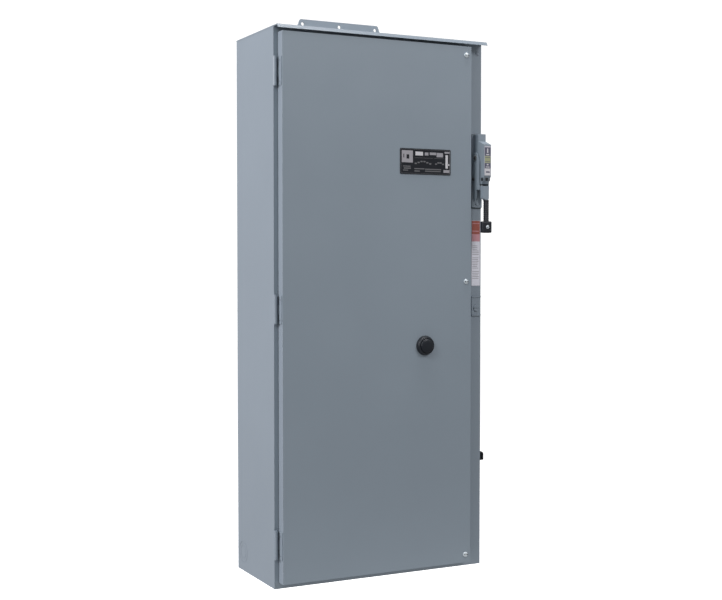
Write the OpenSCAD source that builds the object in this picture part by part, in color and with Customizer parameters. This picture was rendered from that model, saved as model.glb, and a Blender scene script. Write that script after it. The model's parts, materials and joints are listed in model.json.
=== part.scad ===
// Wall-mounted automatic transfer switch in a sheet-steel cabinet.
// The wall plane is y = 0 and the cabinet faces -Y. The origin is the centre
// of the four outer wall holes. Inside the modules, x is measured from the
// cabinet's left face, d forward from the wall and z up from its bottom.

/* [Cabinet] */
// Width of the cabinet
body_w = 525; // [520:1:540]
// Height of the cabinet without its brackets
body_h = 1220; // [1215:1:1240]
// Depth from the wall to the front flange
body_d = 222; // [220:1:230]
// Thickness of the sheet steel
sheet = 2; // [1.5:0.1:2.5]
// Width of the flange beside the door on the handle side
flange_w = 42; // [42:1:44]
// Reach of the drip hood in front of the flange
hood_reach = 27; // [27:1:40]
// Height of the turned-down lip of the drip hood
hood_lip = 8; // [6:1:8]

/* [Door] */
// Depth of the door pan in front of the flange
door_depth = 25; // [25:1:26]
// Strip of cabinet that shows beside the door on the hinge side
hinge_gap = 10; // [10:0.5:11]
// Strip of cabinet that shows above and below the door
end_gap = 14; // [14:1:18]
// Height of each hinge
hinge_h = 61; // [50:1:80]
// Distance of the outer hinges from the cabinet's ends
hinge_inset = 97; // [80:1:150]
// Radius of the hinge pins
hinge_pin_r = 2.5; // [2:0.1:2.8]

/* [Wall brackets] */
// Width of a wall bracket
bracket_w = 218; // [212:2:260]
// Height of the upper bracket above the cabinet
bracket_rise = 66; // [60:1:90]
// Height of the lower bracket below the cabinet
bracket_drop = 58; // [50:1:80]
// Distance between neighbouring holes along a bracket
bracket_pitch = 96; // [80:1:98]
// Radius of the wall holes
wall_hole_r = 4; // [3:0.5:5]
// Distance of a wall hole from the bracket's outer edge
hole_edge = 11; // [9:1:14]
// Thickness of a wall bracket
bracket_t = 3; // [2:0.5:3]

/* [Handle] */
// Height of the handle's pivot above the cabinet's bottom
pivot_z = 954; // [940:1:960]
// Distance of the handle's pivot in front of the flange
pivot_out = 18; // [18:1:19]
// Length of the handle below its pivot
handle_reach = 174; // [160:1:180]
// Radius of the handle's shaft
shaft_r = 5; // [4:0.5:6]

/* [Button] */
// Outer radius of the push button's bezel
bezel_r = 22; // [20:1:26]
// Radius of the push button's cap
cap_r = 16; // [12:1:16]
// Travel of the push button
button_travel = 5; // [2:0.5:5]

/* [Transfer gear] */
// Distance between neighbouring poles
pole_pitch = 35; // [34:1:35]
// Travel of the moving contacts
contact_travel = 6; // [3:0.5:6]
// Angle of the breaker's toggle above and below level
toggle_angle = 20; // [15:1:20]
// Radius of the power cables
cable_r = 6.5; // [4:0.5:7]

/* [Hidden] */
$fn = 48;
RUN = 0.05;
bore_r = hinge_pin_r + RUN;
base_z = -(body_h + bracket_rise + bracket_drop - 2 * hole_edge) / 2
         + bracket_drop - hole_edge;

// Sheet-steel box
back_d = bracket_t;
in_d = back_d + sheet;
front_in = body_d - sheet;
right_x = body_w;
lip = 22;
lip_return = 15;
end_lip = 26;

// Door
door_x0 = hinge_gap;
door_x1 = body_w - flange_w;
door_z0 = end_gap;
door_z1 = body_h - end_gap + 2;
door_back = body_d + 1.5;
door_front = body_d + door_depth;
flange_in = door_x1 - 25;
axis_x = 1;
axis_d = body_d + 5;
knuckle_r = 4.5;
hinge_zs = [body_h - hinge_inset, body_h / 2, hinge_inset];
screw_x = door_x1 - 13.4;
screw_zs = [body_h - 32, 667.5, 32.5];
screw_shank_r = 3.5;
screw_hole_r = 4.6;

// Push button
button_x = 361;
button_z = 523;
barrel_r = 15;
barrel_d = 205;
stem_r = 6;

// Fittings on the door and on the flange
plate_x = [296, 427];
plate_z = [911, 969];
stiffener_x = 245;
stiffener_end = 60;
pocket_x = [60, 215];
pocket_z = [580, 760];
fitting_x = [door_x1 + 16.5, right_x - 1.5];
label_z = [657, 810];
interlock_z = [587, 633];
interlock_t = 2;
defeater_z = 605;
defeater_r = 5;
pan_shank_r = 2.15;
pan_head_r = 4.3;

// Handle
handle_x = 511.5;
pivot_d = body_d + pivot_out;
plate_t = 3.5;
gasket_t = 1.5;
base_front = body_d + gasket_t + plate_t;
base_x = [handle_x - 14, right_x - 0.5];
base_zs = [pivot_z - 114, pivot_z + 54.5];
house_w = 19;
cheek_t = 2.2;
cheek_gap = 1.8;
cheek_r = 12.5;
neck_r = 66;
bar_w = 7;
bar_out = 44.5;
knob_h = 27;
grip_h = 49;
drum_r = 10;

// Panel and the devices on it
panel_d = 15;
panel_t = 3;
dev_d = panel_d + panel_t;
panel_x = [32, 450];
panel_z = [50, 1170];
stud_xs = [50, 432];
stud_zs = [72, 1148];
stud_r = 4;
nut_h = 6.5;

// Moulded-case breaker, below it the contactor for the normal source
brk_x = 352.5;
brk_w = 105;
brk_z = [840, 1040];
brk_mid = 940;
toggle_d = 80;
slide_d = 107;
slide_t = 4;
pull_d = slide_d + slide_t / 2;
pull_r = 1.5;
rail_z = [862, 1018];
rail_d = 100;
rail_front = 113.5;
ferrule_z = [835, 1045];
slide_stroke = 2 * (pull_d - toggle_d) * tan(toggle_angle);

// Contactors
con_w = 116;
con_z = [565, 755];
con_d = 70;
strap_t = 3;
tip_z = [618, 690];
normal_x = brk_x;
emergency_x = 137.5;
arc_z = [602, 718];
arc_d = 120;
rocker_x = (normal_x + emergency_x) / 2;
rocker_z = 660;
rocker_arm = 42;
rocker_angle = asin(contact_travel / 2 / rocker_arm);
closed_d = 76;
pin_out = 23;
pin_r = 3;
rocker_d = closed_d + pin_out + contact_travel / 2;

// Load side
load_x = rocker_x;
load_pitch = 30;
load_block_z = 110;
bar_z = [540, 515, 490];
bar_d = 86;
lug_w = 17;
lug_h = 22;
lug_d = con_d + strap_t;
cable_d = lug_d + lug_w / 2;
block_h = 72;
source_z = 970;
con_lug_z = 728;

// Controls below the contactors
controller_x = [48, 198];
controller_z = [300, 450];
core_x = [308, 408];
core_z = [345, 445];
fuse_x = [310, 406];
fuse_z = [252, 326];
strip_x = [46, 198];
strip_z = [205, 255];
earth_z = 120;
neutral_z = 200;
earth_x = [318, 428];

// Routes of the operator's two cables as [x, depth, z] points
sheath_r = 3.2;
sheath_routes = [
    [[handle_x, base_front, pivot_z + drum_r], [handle_x, 200, pivot_z + drum_r],
     [505, 170, 968], [480, 145, 995], [445, 124, 1055], [410, 113, 1098],
     [375, pull_d, 1108], [356, pull_d, 1092], [brk_x, pull_d, 1070],
     [brk_x, pull_d, ferrule_z[1] + 0.3]],
    [[handle_x, base_front, pivot_z - drum_r], [handle_x, 200, pivot_z - drum_r],
     [505, 170, 940], [480, 145, 912], [445, 124, 845], [410, 113, 790],
     [375, pull_d, 776], [356, pull_d, 790], [brk_x, pull_d, 812],
     [brk_x, pull_d, ferrule_z[0] - 0.3]]
];

GREY = [0.46, 0.50, 0.54];
LIGHT = [0.86, 0.86, 0.84];
BLACK = [0.12, 0.13, 0.14];
ZINC = [0.75, 0.76, 0.78];
COPPER = [0.78, 0.48, 0.30];

// ---- Placing and drawing ----

module at(x, d, z) {
    translate([x - body_w / 2, -d, z + base_z]) children();
}

module slab(x0, x1, d0, d1, z0, z1) {
    at(x0, d1, z0) cube([x1 - x0, d1 - d0, z1 - z0]);
}

// Round bar with its axis along x
module rod_x(x0, x1, d, z, r) {
    at(x0, d, z) rotate([0, 90, 0]) cylinder(r = r, h = x1 - x0);
}

// Round bar that points forward, from depth d0 to d1
module rod_d(x, d0, d1, z, r, r2 = -1) {
    at(x, d0, z) rotate([90, 0, 0])
        cylinder(r1 = r, r2 = r2 < 0 ? r : r2, h = d1 - d0);
}

// Upright round bar
module rod_z(x, d, z0, z1, r) {
    at(x, d, z0) cylinder(r = r, h = z1 - z0);
}

// Outline of [d, z] points drawn along x
module side_shape(x0, x1, points) {
    translate([x0 - body_w / 2, 0, base_z]) rotate([90, 0, 90])
        linear_extrude(x1 - x0)
            polygon([for (p = points) [-p[0], p[1]]]);
}

// Outline of [x, z] points drawn forward
module front_shape(d0, d1, points) {
    translate([-body_w / 2, -d0, base_z]) rotate([90, 0, 0])
        linear_extrude(d1 - d0) polygon(points);
}

function arc(cx, cy, r, a0, a1, n = 6) =
    [for (i = [0:n]) let (a = a0 + (a1 - a0) * i / n)
        [cx + r * cos(a), cy + r * sin(a)]];

function round_rect(x0, x1, z0, z1, r) = concat(
    arc(x1 - r, z1 - r, r, 0, 90), arc(x0 + r, z1 - r, r, 90, 180),
    arc(x0 + r, z0 + r, r, 180, 270), arc(x1 - r, z0 + r, r, 270, 360));

// Rectangular ring, w wide, inside the given outline
module frame_ring(x0, x1, d0, d1, z0, z1, w) {
    difference() {
        slab(x0, x1, d0, d1, z0, z1);
        slab(x0 + w, x1 - w, d0 - 1, d1 + 1, z0 + w, z1 - w);
    }
}

// Bent round bar through the given [x, d, z] points
module bent_rod(points, r) {
    for (i = [0:len(points) - 2]) {
        a = points[i];
        b = points[i + 1];
        v = [b[0] - a[0], a[1] - b[1], b[2] - a[2]];
        at(a[0], a[1], a[2])
            rotate([0, acos(v[2] / norm(v)), atan2(v[1], v[0])])
                cylinder(r = r, h = norm(v), $fn = 24);
        if (i > 0) at(a[0], a[1], a[2]) sphere(r = r, $fn = 24);
    }
}

// Points of a smooth curve through p, with n steps between neighbours
function spline(p0, p1, p2, p3, t) = 0.5 * (2 * p1 + (p2 - p0) * t
    + (2 * p0 - 5 * p1 + 4 * p2 - p3) * t * t
    + (3 * p1 - p0 - 3 * p2 + p3) * t * t * t);
function smooth(p, n) = let (last = len(p) - 1) concat(
    [for (i = [0:last - 1], k = [0:n - 1])
        spline(p[max(i - 1, 0)], p[i], p[i + 1], p[min(i + 2, last)], k / n)],
    [p[last]]);
function unit(v) = v / norm(v);
function headings(p) = [for (i = [0:len(p) - 1])
    unit(p[min(i + 1, len(p) - 1)] - p[max(i - 1, 0)])];
function carried(t, i) = i == 0 ? unit(cross(t[0], [0, 0, 1]))
    : let (v = carried(t, i - 1)) unit(v - t[i] * (v * t[i]));

// Round tube through [x, d, z] points, with the given number of sides
module tube(route, r, sides) {
    p = [for (q = route) [q[0], -q[1], q[2]]];
    t = headings(p);
    rings = [for (i = [0:len(p) - 1]) let (u = carried(t, i), v = cross(t[i], u))
        for (k = [0:sides - 1])
            p[i] + r * (u * cos(360 * k / sides) + v * sin(360 * k / sides))];
    top = len(rings) - sides;
    faces = concat(
        [[for (k = [0:sides - 1]) k]],
        [for (i = [0:len(p) - 2], k = [0:sides - 1]) let (n = (k + 1) % sides, a = i * sides)
            each [[a + k, a + sides + n, a + n], [a + k, a + sides + k, a + sides + n]]],
        [[for (k = [sides - 1:-1:0]) top + k]]);
    translate([-body_w / 2, 0, base_z]) polyhedron(rings, faces);
}

module knockout(r, depth) {
    difference() {
        cylinder(r = r + 0.5, h = depth);
        translate([0, 0, -1]) cylinder(r = r - 0.5, h = depth + 2);
    }
}

function pole_xs(mid, pitch) = [mid - pitch, mid, mid + pitch];

// ---- Cabinet ----

module back_panel() {
    color(GREY) slab(0, right_x, back_d, in_d, 0, body_h);
}

module left_side() {
    knock_d = 37;
    knock_z = 44;
    color(GREY) difference() {
        union() {
            slab(0, sheet, in_d, body_d, 0, body_h);
            slab(sheet, lip, front_in, body_d, sheet, body_h - sheet);
            slab(lip - sheet, lip, front_in - lip_return, front_in,
                 end_lip, body_h - end_lip);
        }
        for (r = [15, 24])
            at(-1, knock_d, knock_z) rotate([0, 90, 0]) knockout(r, 1.6);
    }
}

module right_side() {
    color(GREY) difference() {
        union() {
            slab(right_x - sheet, right_x, in_d, body_d, 0, body_h);
            slab(flange_in, right_x - sheet, front_in, body_d,
                 sheet, body_h - sheet);
            slab(flange_in, flange_in + sheet, front_in - lip_return,
                 front_in, end_lip, body_h - end_lip);
        }
        for (z = screw_zs)
            rod_d(screw_x, front_in - 1, body_d + 1, z, screw_hole_r);
        rod_d(handle_x, front_in - 1, body_d + 1, defeater_z, defeater_r);
        cable_holes(front_in - 1, body_d + 1);
        flange_screw_holes(front_in - 1, body_d + 1);
    }
}

module end_panel(z0, lip_z) {
    slab(sheet, right_x - sheet, in_d, body_d, z0, z0 + sheet);
    slab(lip, flange_in, front_in, body_d, lip_z, lip_z + end_lip - sheet);
}

module top_panel() {
    color(GREY) end_panel(body_h - sheet, body_h - end_lip);
}

module bottom_panel() {
    knock_d = 110;
    color(GREY) difference() {
        end_panel(0, sheet);
        for (x = [130, 262, 395], r = [22, 31])
            at(x, knock_d, -1) knockout(r, 1.6);
    }
}

// Flat cover that ends in front in a sloping lip
module drip_hood() {
    overhang = 0.5;
    slope = 5;
    front = body_d + hood_reach;
    top = body_h + sheet;
    color(GREY) side_shape(-overhang, right_x + overhang, [
        [back_d, body_h], [front - slope - sheet / 2, body_h],
        [front - sheet, top - hood_lip], [front, top - hood_lip],
        [front - slope, top], [back_d, top]]);
}

// Upright plate with three holes, drawn as the upper one
module wall_bracket(rise) {
    x0 = (body_w - bracket_w) / 2;
    x1 = x0 + bracket_w;
    tip = body_h + rise;
    overlap = 45;
    taper = 4.5;
    taper_h = 16;
    r = 5;
    outline = concat(
        [[x0, body_h - overlap], [x1, body_h - overlap], [x1, tip - taper_h]],
        arc(x1 - taper - r, tip - r, r, 10, 90),
        arc(x0 + taper + r, tip - r, r, 90, 170),
        [[x0, tip - taper_h]]);
    difference() {
        front_shape(0, bracket_t, outline);
        for (i = [-1:1])
            rod_d(body_w / 2 + i * bracket_pitch, -1, bracket_t + 1,
                  tip - hole_edge, wall_hole_r);
    }
}

module upper_bracket() {
    color(GREY) wall_bracket(bracket_rise);
}

module lower_bracket() {
    color(GREY) translate([0, 0, 2 * base_z + body_h]) mirror([0, 0, 1])
        wall_bracket(bracket_drop);
}

module hinge_barrel(z0, z1) {
    rod_z(axis_x, axis_d, z0, z1, knuckle_r);
}

module body_hinge_leaves() {
    half = hinge_h / 2;
    inner = hinge_h / 6 + 0.3;
    leaf_t = 1.8;
    color(ZINC) for (z = hinge_zs) difference() {
        for (span = [[z - half, z - inner], [z + inner, z + half]]) {
            hinge_barrel(span[0], span[1]);
            slab(axis_x, hinge_gap - 1.4, body_d, body_d + leaf_t,
                 span[0], span[1]);
        }
        rod_z(axis_x, axis_d, z - hinge_h, z + hinge_h, bore_r);
    }
}

module hinge_pins() {
    head_r = 3.8;
    head_h = 1.9;
    color(ZINC) for (z = hinge_zs) {
        seat = z + hinge_h / 2 + 0.1;
        rod_z(axis_x, axis_d, seat - hinge_h - 1, seat, hinge_pin_r);
        rod_z(axis_x, axis_d, seat, seat + head_h, head_r);
    }
}

// Foam strip on the flanges, around the door's edge
module door_gasket() {
    edge = 1.5;
    strip_w = 6;
    color(BLACK)
        frame_ring(door_x0 + 0.3, door_x1 - 1 + 2 * edge, body_d,
                   body_d + 1.3, door_z0 - edge, door_z1 + edge, strip_w);
}

module mounting_panel() {
    color(LIGHT) difference() {
        slab(panel_x[0], panel_x[1], panel_d, dev_d, panel_z[0], panel_z[1]);
        for (x = stud_xs, z = stud_zs)
            rod_d(x, panel_d - 1, dev_d + 1, z, stud_r + 0.4);
    }
}

// Studs welded to the back panel, with the nuts that hold the mounting panel
module panel_studs() {
    thread_out = 2.5;
    color(ZINC) for (x = stud_xs, z = stud_zs) {
        rod_d(x, in_d, panel_d, z, 2 * stud_r);
        rod_d(x, panel_d, dev_d + nut_h + thread_out, z, stud_r);
        at(x, dev_d, z) rotate([90, 0, 0])
            cylinder(r = 1.9 * stud_r, h = nut_h, $fn = 6);
    }
}

// Bosses behind the flange that take the door screws
module screw_receivers() {
    color(ZINC) for (z = screw_zs) difference() {
        rod_d(screw_x, front_in - 8, front_in, z, 2 * screw_hole_r);
        rod_d(screw_x, front_in - 9, front_in + 1, z, screw_hole_r);
    }
}

// Padlock staple of bent flat bar on the side of the cabinet
module side_staple() {
    thick = 2.5;
    out_x = right_x + 14;
    low = 244;
    high = 267;
    color(BLACK) front_shape(body_d - 30, body_d - 7, [
        [right_x, low], [out_x - 2, low], [out_x, low + 2],
        [out_x, high - 7], [out_x - 4, high - 3], [right_x, high],
        [right_x, high - thick], [out_x - 5, high - thick - 3],
        [out_x - thick, high - thick - 6], [out_x - thick, low + thick],
        [right_x, low + thick]]);
}

// [x, head's seat, z] of the pan-head screws on the flange
flange_screw_at = [
    [handle_x, base_front, pivot_z - 106], [handle_x, base_front, pivot_z + 46],
    [handle_x + 2, body_d, body_h - 21]
];

module flange_screw_holes(d0, d1) {
    for (p = flange_screw_at) rod_d(p[0], d0, d1, p[2], pan_shank_r + RUN);
}

module flange_screws() {
    color(ZINC) for (p = flange_screw_at) {
        rod_d(p[0], front_in - 4, p[1], p[2], pan_shank_r);
        rod_d(p[0], p[1], p[1] + 1.3, p[2], pan_head_r);
        rod_d(p[0], p[1] + 1.3, p[1] + 2.3, p[2], pan_head_r, 3);
    }
}

module safety_label() {
    color("white") slab(fitting_x[0], fitting_x[1] - 0.5, body_d, body_d + 0.4,
                        label_z[0], label_z[1]);
}

// Plate around the defeater screw, with a rib at each end
module interlock_plate() {
    front = body_d + interlock_t;
    rib = 3;
    color(GREY) difference() {
        union() {
            slab(fitting_x[0], fitting_x[1], body_d, front,
                 interlock_z[0], interlock_z[1]);
            for (z = [interlock_z[0], interlock_z[1] - rib])
                slab(fitting_x[0], fitting_x[1], front, front + rib / 2, z, z + rib);
        }
        rod_d(handle_x, body_d - 1, front + 1, defeater_z, defeater_r);
    }
}

module defeater_screw() {
    seat = body_d + interlock_t;
    head_r = 7;
    head_h = 2.5;
    slot = 0.8;
    color(ZINC) difference() {
        union() {
            rod_d(handle_x, front_in - 12, seat + 1, defeater_z, defeater_r - RUN);
            rod_d(handle_x, seat + 0.1, seat + head_h, defeater_z, head_r);
        }
        slab(handle_x - head_r - 1, handle_x + head_r + 1, seat + head_h / 2,
             seat + head_h + 1, defeater_z - slot, defeater_z + slot);
    }
}

// ---- Flange handle ----

module cable_holes(d0, d1) {
    for (s = [-1, 1]) rod_d(handle_x, d0, d1, pivot_z + s * drum_r, 4);
}

module handle_gasket() {
    color(BLACK) difference() {
        slab(base_x[0] - 1.5, base_x[1] + 0.3, body_d, body_d + gasket_t,
             base_zs[0] - 2, base_zs[1] + 1.5);
        cable_holes(body_d - 1, body_d + 3);
        flange_screw_holes(body_d - 1, body_d + 3);
    }
}

module handle_base() {
    color(GREY) difference() {
        slab(base_x[0], base_x[1], body_d + gasket_t, base_front,
             base_zs[0], base_zs[1]);
        cable_holes(body_d, base_front + 1);
        flange_screw_holes(body_d, base_front + 1);
    }
}

// Side outline of the housing, shrunk by w
function housing_outline(w) = [
    [base_front - w, pivot_z - 61 + w], [body_d + 38 - w / 2, pivot_z - 61 + w],
    [body_d + 50 - w, pivot_z - 43 + w / 2],
    [body_d + 50 - w, pivot_z + 29 - w], [body_d + 27 - w, pivot_z + 38 - w / 2],
    [body_d + 27 - w, pivot_z + 55 - w], [base_front - w, pivot_z + 55 - w]
];

module handle_housing() {
    x0 = handle_x - house_w / 2;
    x1 = handle_x + house_w / 2;
    color(GREY) difference() {
        side_shape(x0, x1, housing_outline(0));
        side_shape(x0 + 2, x1 - 2, housing_outline(2));
        rod_x(x0 - 1, x1 + 1, pivot_d, pivot_z, shaft_r + RUN);
    }
}

module indicator_label() {
    half = house_w / 2 - 1.2;
    color("gold")
        slab(handle_x - half, handle_x + half, body_d + 50, body_d + 50.5,
             pivot_z - 42, pivot_z + 26);
}

// Side outline of a cheek, round over the pivot and broad below it
cheek_outline = concat(arc(pivot_d, pivot_z, cheek_r, 15, 180, 12), [
    [pivot_d - 11, pivot_z - 58], [pivot_d - 9, pivot_z - 64],
    [pivot_d - 9, pivot_z - 92], [pivot_d - 5, pivot_z - 98],
    [pivot_d + 2, pivot_z - 98], [pivot_d + 5, pivot_z - 92],
    [pivot_d + 5, pivot_z - 74], [pivot_d + 17, pivot_z - 74],
    [pivot_d + 17, pivot_z - 8]]);

// Yoke whose cheeks pass on both sides of the housing
module handle_lever() {
    out_x = house_w / 2 + cheek_gap;
    neck_z = pivot_z - neck_r;
    color(GREY) difference() {
        union() {
            for (x = [handle_x - out_x - cheek_t, handle_x + out_x])
                side_shape(x, x + cheek_t, cheek_outline);
            slab(handle_x - out_x - 1, handle_x + out_x + 1, pivot_d - 9,
                 body_d + bar_out - 7, neck_z - 8, neck_z);
            hull() {
                slab(handle_x - out_x + 1, handle_x + 5, body_d + bar_out - 8,
                     body_d + bar_out + 4, neck_z - 28, neck_z);
                slab(handle_x - bar_w / 2, handle_x + bar_w / 2,
                     body_d + bar_out - 4, body_d + bar_out + 4,
                     pivot_z - handle_reach + knob_h + grip_h + 0.5,
                     neck_z - 8);
            }
            slab(handle_x - bar_w / 2, handle_x + bar_w / 2,
                 body_d + bar_out - 4, body_d + bar_out + 4,
                 pivot_z - handle_reach + 4, neck_z - 28);
        }
        rod_x(handle_x - 20, handle_x + 20, pivot_d, pivot_z, shaft_r + RUN);
        knob_screw_hole();
    }
}

module knob_screw_hole() {
    rod_d(handle_x, body_d + bar_out, body_d + 60,
          pivot_z - handle_reach + knob_h / 2, 2.05);
}

module lever_bar_space(z0, z1) {
    slab(handle_x - bar_w / 2, handle_x + bar_w / 2, body_d + bar_out - 4,
         body_d + bar_out + 4, z0, z1);
}

module handle_grip() {
    z0 = pivot_z - handle_reach + knob_h;
    d = body_d + bar_out;
    r = 3;
    color(BLACK) difference() {
        hull() for (sx = [-1, 1], sd = [-1, 1])
            rod_z(handle_x + sx * 2.3, d + sd * 3, z0, z0 + grip_h, r);
        lever_bar_space(z0 - 1, z0 + grip_h + 1);
    }
}

module handle_knob() {
    z0 = pivot_z - handle_reach;
    d = body_d + bar_out;
    r = 4;
    color(BLACK) difference() {
        hull() for (sx = [-1, 1], sd = [-1, 1], z = [z0 + r, z0 + knob_h - r])
            at(handle_x + sx * 9.2, d + sd * 4, z) sphere(r = r, $fn = 24);
        lever_bar_space(z0 + 4, z0 + knob_h + 1);
        knob_screw_hole();
    }
}

module knob_screw() {
    z = pivot_z - handle_reach + knob_h / 2;
    seat = body_d + bar_out + 8.1;
    color(ZINC) {
        rod_d(handle_x, body_d + bar_out + 0.5, seat, z, 2);
        rod_d(handle_x, seat, seat + 1, z, 4.2);
        rod_d(handle_x, seat + 1, seat + 2.2, z, 4.2, 2.6);
    }
}

// Shaft with its heads and the drum that pulls the cables
module handle_shaft() {
    out_x = house_w / 2 + cheek_gap + cheek_t;
    color(ZINC) {
        rod_x(handle_x - out_x, handle_x + out_x, pivot_d, pivot_z, shaft_r);
        rod_x(handle_x - out_x - 1.6, handle_x - out_x, pivot_d, pivot_z, 7);
        rod_x(handle_x + out_x, handle_x + out_x + 1.6, pivot_d, pivot_z, 7);
        rod_x(handle_x - 5, handle_x + 5, pivot_d, pivot_z, drum_r);
        for (x = [handle_x - 6.5, handle_x + 5])
            rod_x(x, x + 1.5, pivot_d, pivot_z, drum_r + 1.5);
    }
}

// Sheathed pull cables from the drum to the ends of the breaker's operator
module operating_cables() {
    color(BLACK) for (route = sheath_routes) tube(smooth(route, 3), sheath_r, 8);
}

// ---- Door ----

module door_panel() {
    color(GREY) difference() {
        slab(door_x0, door_x1, door_back, door_front, door_z0, door_z1);
        slab(door_x0 + sheet, door_x1 - sheet, door_back - 1,
             door_front - sheet, door_z0 + sheet, door_z1 - sheet);
        for (z = screw_zs)
            rod_d(screw_x, door_front - sheet - 1, door_front + 1, z,
                  screw_shank_r + RUN);
        rod_d(button_x, door_front - sheet - 1, door_front + 1, button_z,
              barrel_r + 0.2);
    }
}

// Knuckle joined behind the barrel to a leaf on the door's side
module door_hinge_leaves() {
    back = axis_d - knuckle_r;
    half = hinge_h / 6;
    leaf_t = 1.6;
    color(ZINC) for (z = hinge_zs) difference() {
        union() {
            hinge_barrel(z - half, z + half);
            slab(axis_x, hinge_gap, back, back + leaf_t, z - half, z + half);
            slab(hinge_gap - leaf_t, hinge_gap, back, door_front - 3,
                 z - half, z + half);
            slab(hinge_gap - leaf_t, hinge_gap, axis_d + 3, door_front - 3,
                 z - hinge_h / 2, z + hinge_h / 2);
        }
        rod_z(axis_x, axis_d, z - hinge_h, z + hinge_h, bore_r);
    }
}

module nameplate() {
    color(BLACK) front_shape(door_front, door_front + 1.2,
        round_rect(plate_x[0], plate_x[1], plate_z[0], plate_z[1], 2.5));
}

// Hat-shaped channel behind the door's front
module door_stiffener() {
    x = stiffener_x;
    d = door_front - sheet;
    half = 14;
    t = 1.5;
    z0 = stiffener_end;
    z1 = body_h - stiffener_end;
    color(GREY) {
        slab(x - half, x + half, d - 12, d - 12 + t, z0, z1);
        for (s = [-1, 1]) {
            web = x + s * half;
            foot = x + s * (half + 6);
            slab(web - t / 2, web + t / 2, d - 12, d, z0, z1);
            slab(foot - 6 - t / 2, foot + 6 + t / 2, d - t, d, z0, z1);
        }
    }
}

module button_bezel() {
    rim = door_front + 10;
    floor_d = door_front + 1.5;
    color(BLACK) difference() {
        union() {
            rod_d(button_x, door_front, rim - 7, button_z, bezel_r);
            rod_d(button_x, rim - 7, rim, button_z, bezel_r, bezel_r - 4);
            rod_d(button_x, barrel_d, door_front, button_z, barrel_r);
        }
        rod_d(button_x, floor_d, rim + 1, button_z, cap_r + 0.4);
        rod_d(button_x, barrel_d - 1, floor_d + 1, button_z, stem_r + RUN);
    }
}

module button_nut() {
    thick = 5;
    back = door_front - sheet - thick;
    color(ZINC) difference() {
        at(button_x, back, button_z) rotate([90, 0, 0])
            cylinder(r = barrel_r + 7, h = thick, $fn = 6);
        rod_d(button_x, back - 1, door_front, button_z, barrel_r + RUN);
    }
}

// Contact block with an open terminal groove at the top and bottom
module button_block() {
    half = 20;
    back = barrel_d - 2 * half;
    color(BLACK) difference() {
        slab(button_x - half, button_x + half, back, barrel_d,
             button_z - half, button_z + half);
        rod_d(button_x, barrel_d - 9, barrel_d + 1, button_z, stem_r + 1);
        for (s = [-1, 1])
            slab(button_x - 14, button_x + 14, back - 1, back + 13,
                 button_z + s * 15 - 3, button_z + s * 15 + 3);
    }
}

module button_cap() {
    back = door_front + 1.6 + button_travel;
    color(BLACK) {
        rod_d(button_x, back, back + 6, button_z, cap_r);
        rod_d(button_x, back + 6, back + 7.5, button_z, cap_r, cap_r - 2);
        rod_d(button_x, barrel_d - 2, back, button_z, stem_r);
    }
}

module diagram_pocket() {
    d = door_front - sheet;
    wall = 2;
    color(LIGHT) difference() {
        slab(pocket_x[0], pocket_x[1], d - 8, d, pocket_z[0], pocket_z[1]);
        slab(pocket_x[0] + wall, pocket_x[1] - wall, d - 6.5, d - 1,
             pocket_z[0] + wall, pocket_z[1] + 1);
    }
}

// Quarter-turn door screw with a slotted, domed head
module door_screw(z) {
    head_r = 6.5;
    shoulder = door_front + 2;
    slot = 0.7;
    color(ZINC) difference() {
        union() {
            rod_d(screw_x, front_in - 8, door_front, z, screw_shank_r);
            rod_d(screw_x, door_front, shoulder, z, head_r);
            rod_d(screw_x, shoulder, shoulder + 1.5, z, head_r, head_r - 2);
        }
        slab(screw_x - head_r - 1, screw_x + head_r + 1, shoulder + 0.3,
             shoulder + 2, z - slot, z + slot);
    }
}

// ---- Breaker and its operator ----

module breaker_case() {
    x0 = brk_x - brk_w / 2;
    x1 = brk_x + brk_w / 2;
    shoulder = 92;
    terminal_h = 34;
    well = 16;
    color(BLACK) difference() {
        union() {
            slab(x0, x1, dev_d, shoulder, brk_z[0], brk_z[1]);
            slab(x0 + 5, x1 - 5, shoulder, rail_d, brk_z[0] + terminal_h,
                 brk_z[1] - terminal_h);
        }
        for (x = pole_xs(brk_x, pole_pitch),
             z = [brk_z[0] - 1, brk_z[1] - terminal_h + 1])
            slab(x - 13, x + 13, con_d, shoulder + 1, z, z + terminal_h);
        slab(brk_x - well - 0.5, brk_x + well + 0.5, toggle_d - 14, rail_d + 1,
             brk_mid - well, brk_mid + well);
        rod_x(brk_x - well - 6, brk_x + well + 6, toggle_d, brk_mid, pin_r + RUN);
    }
}

module breaker_toggle() {
    hub = 16;
    reach = 46;
    color(BLACK) {
        rod_x(brk_x - hub, brk_x + hub, toggle_d, brk_mid, hub / 2);
        rod_x(brk_x - hub - 5, brk_x + hub + 5, toggle_d, brk_mid, pin_r);
        at(brk_x, toggle_d, brk_mid) rotate([toggle_angle, 0, 0])
            translate([-10, -reach, -4]) cube([20, reach, 8]);
    }
}

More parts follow.
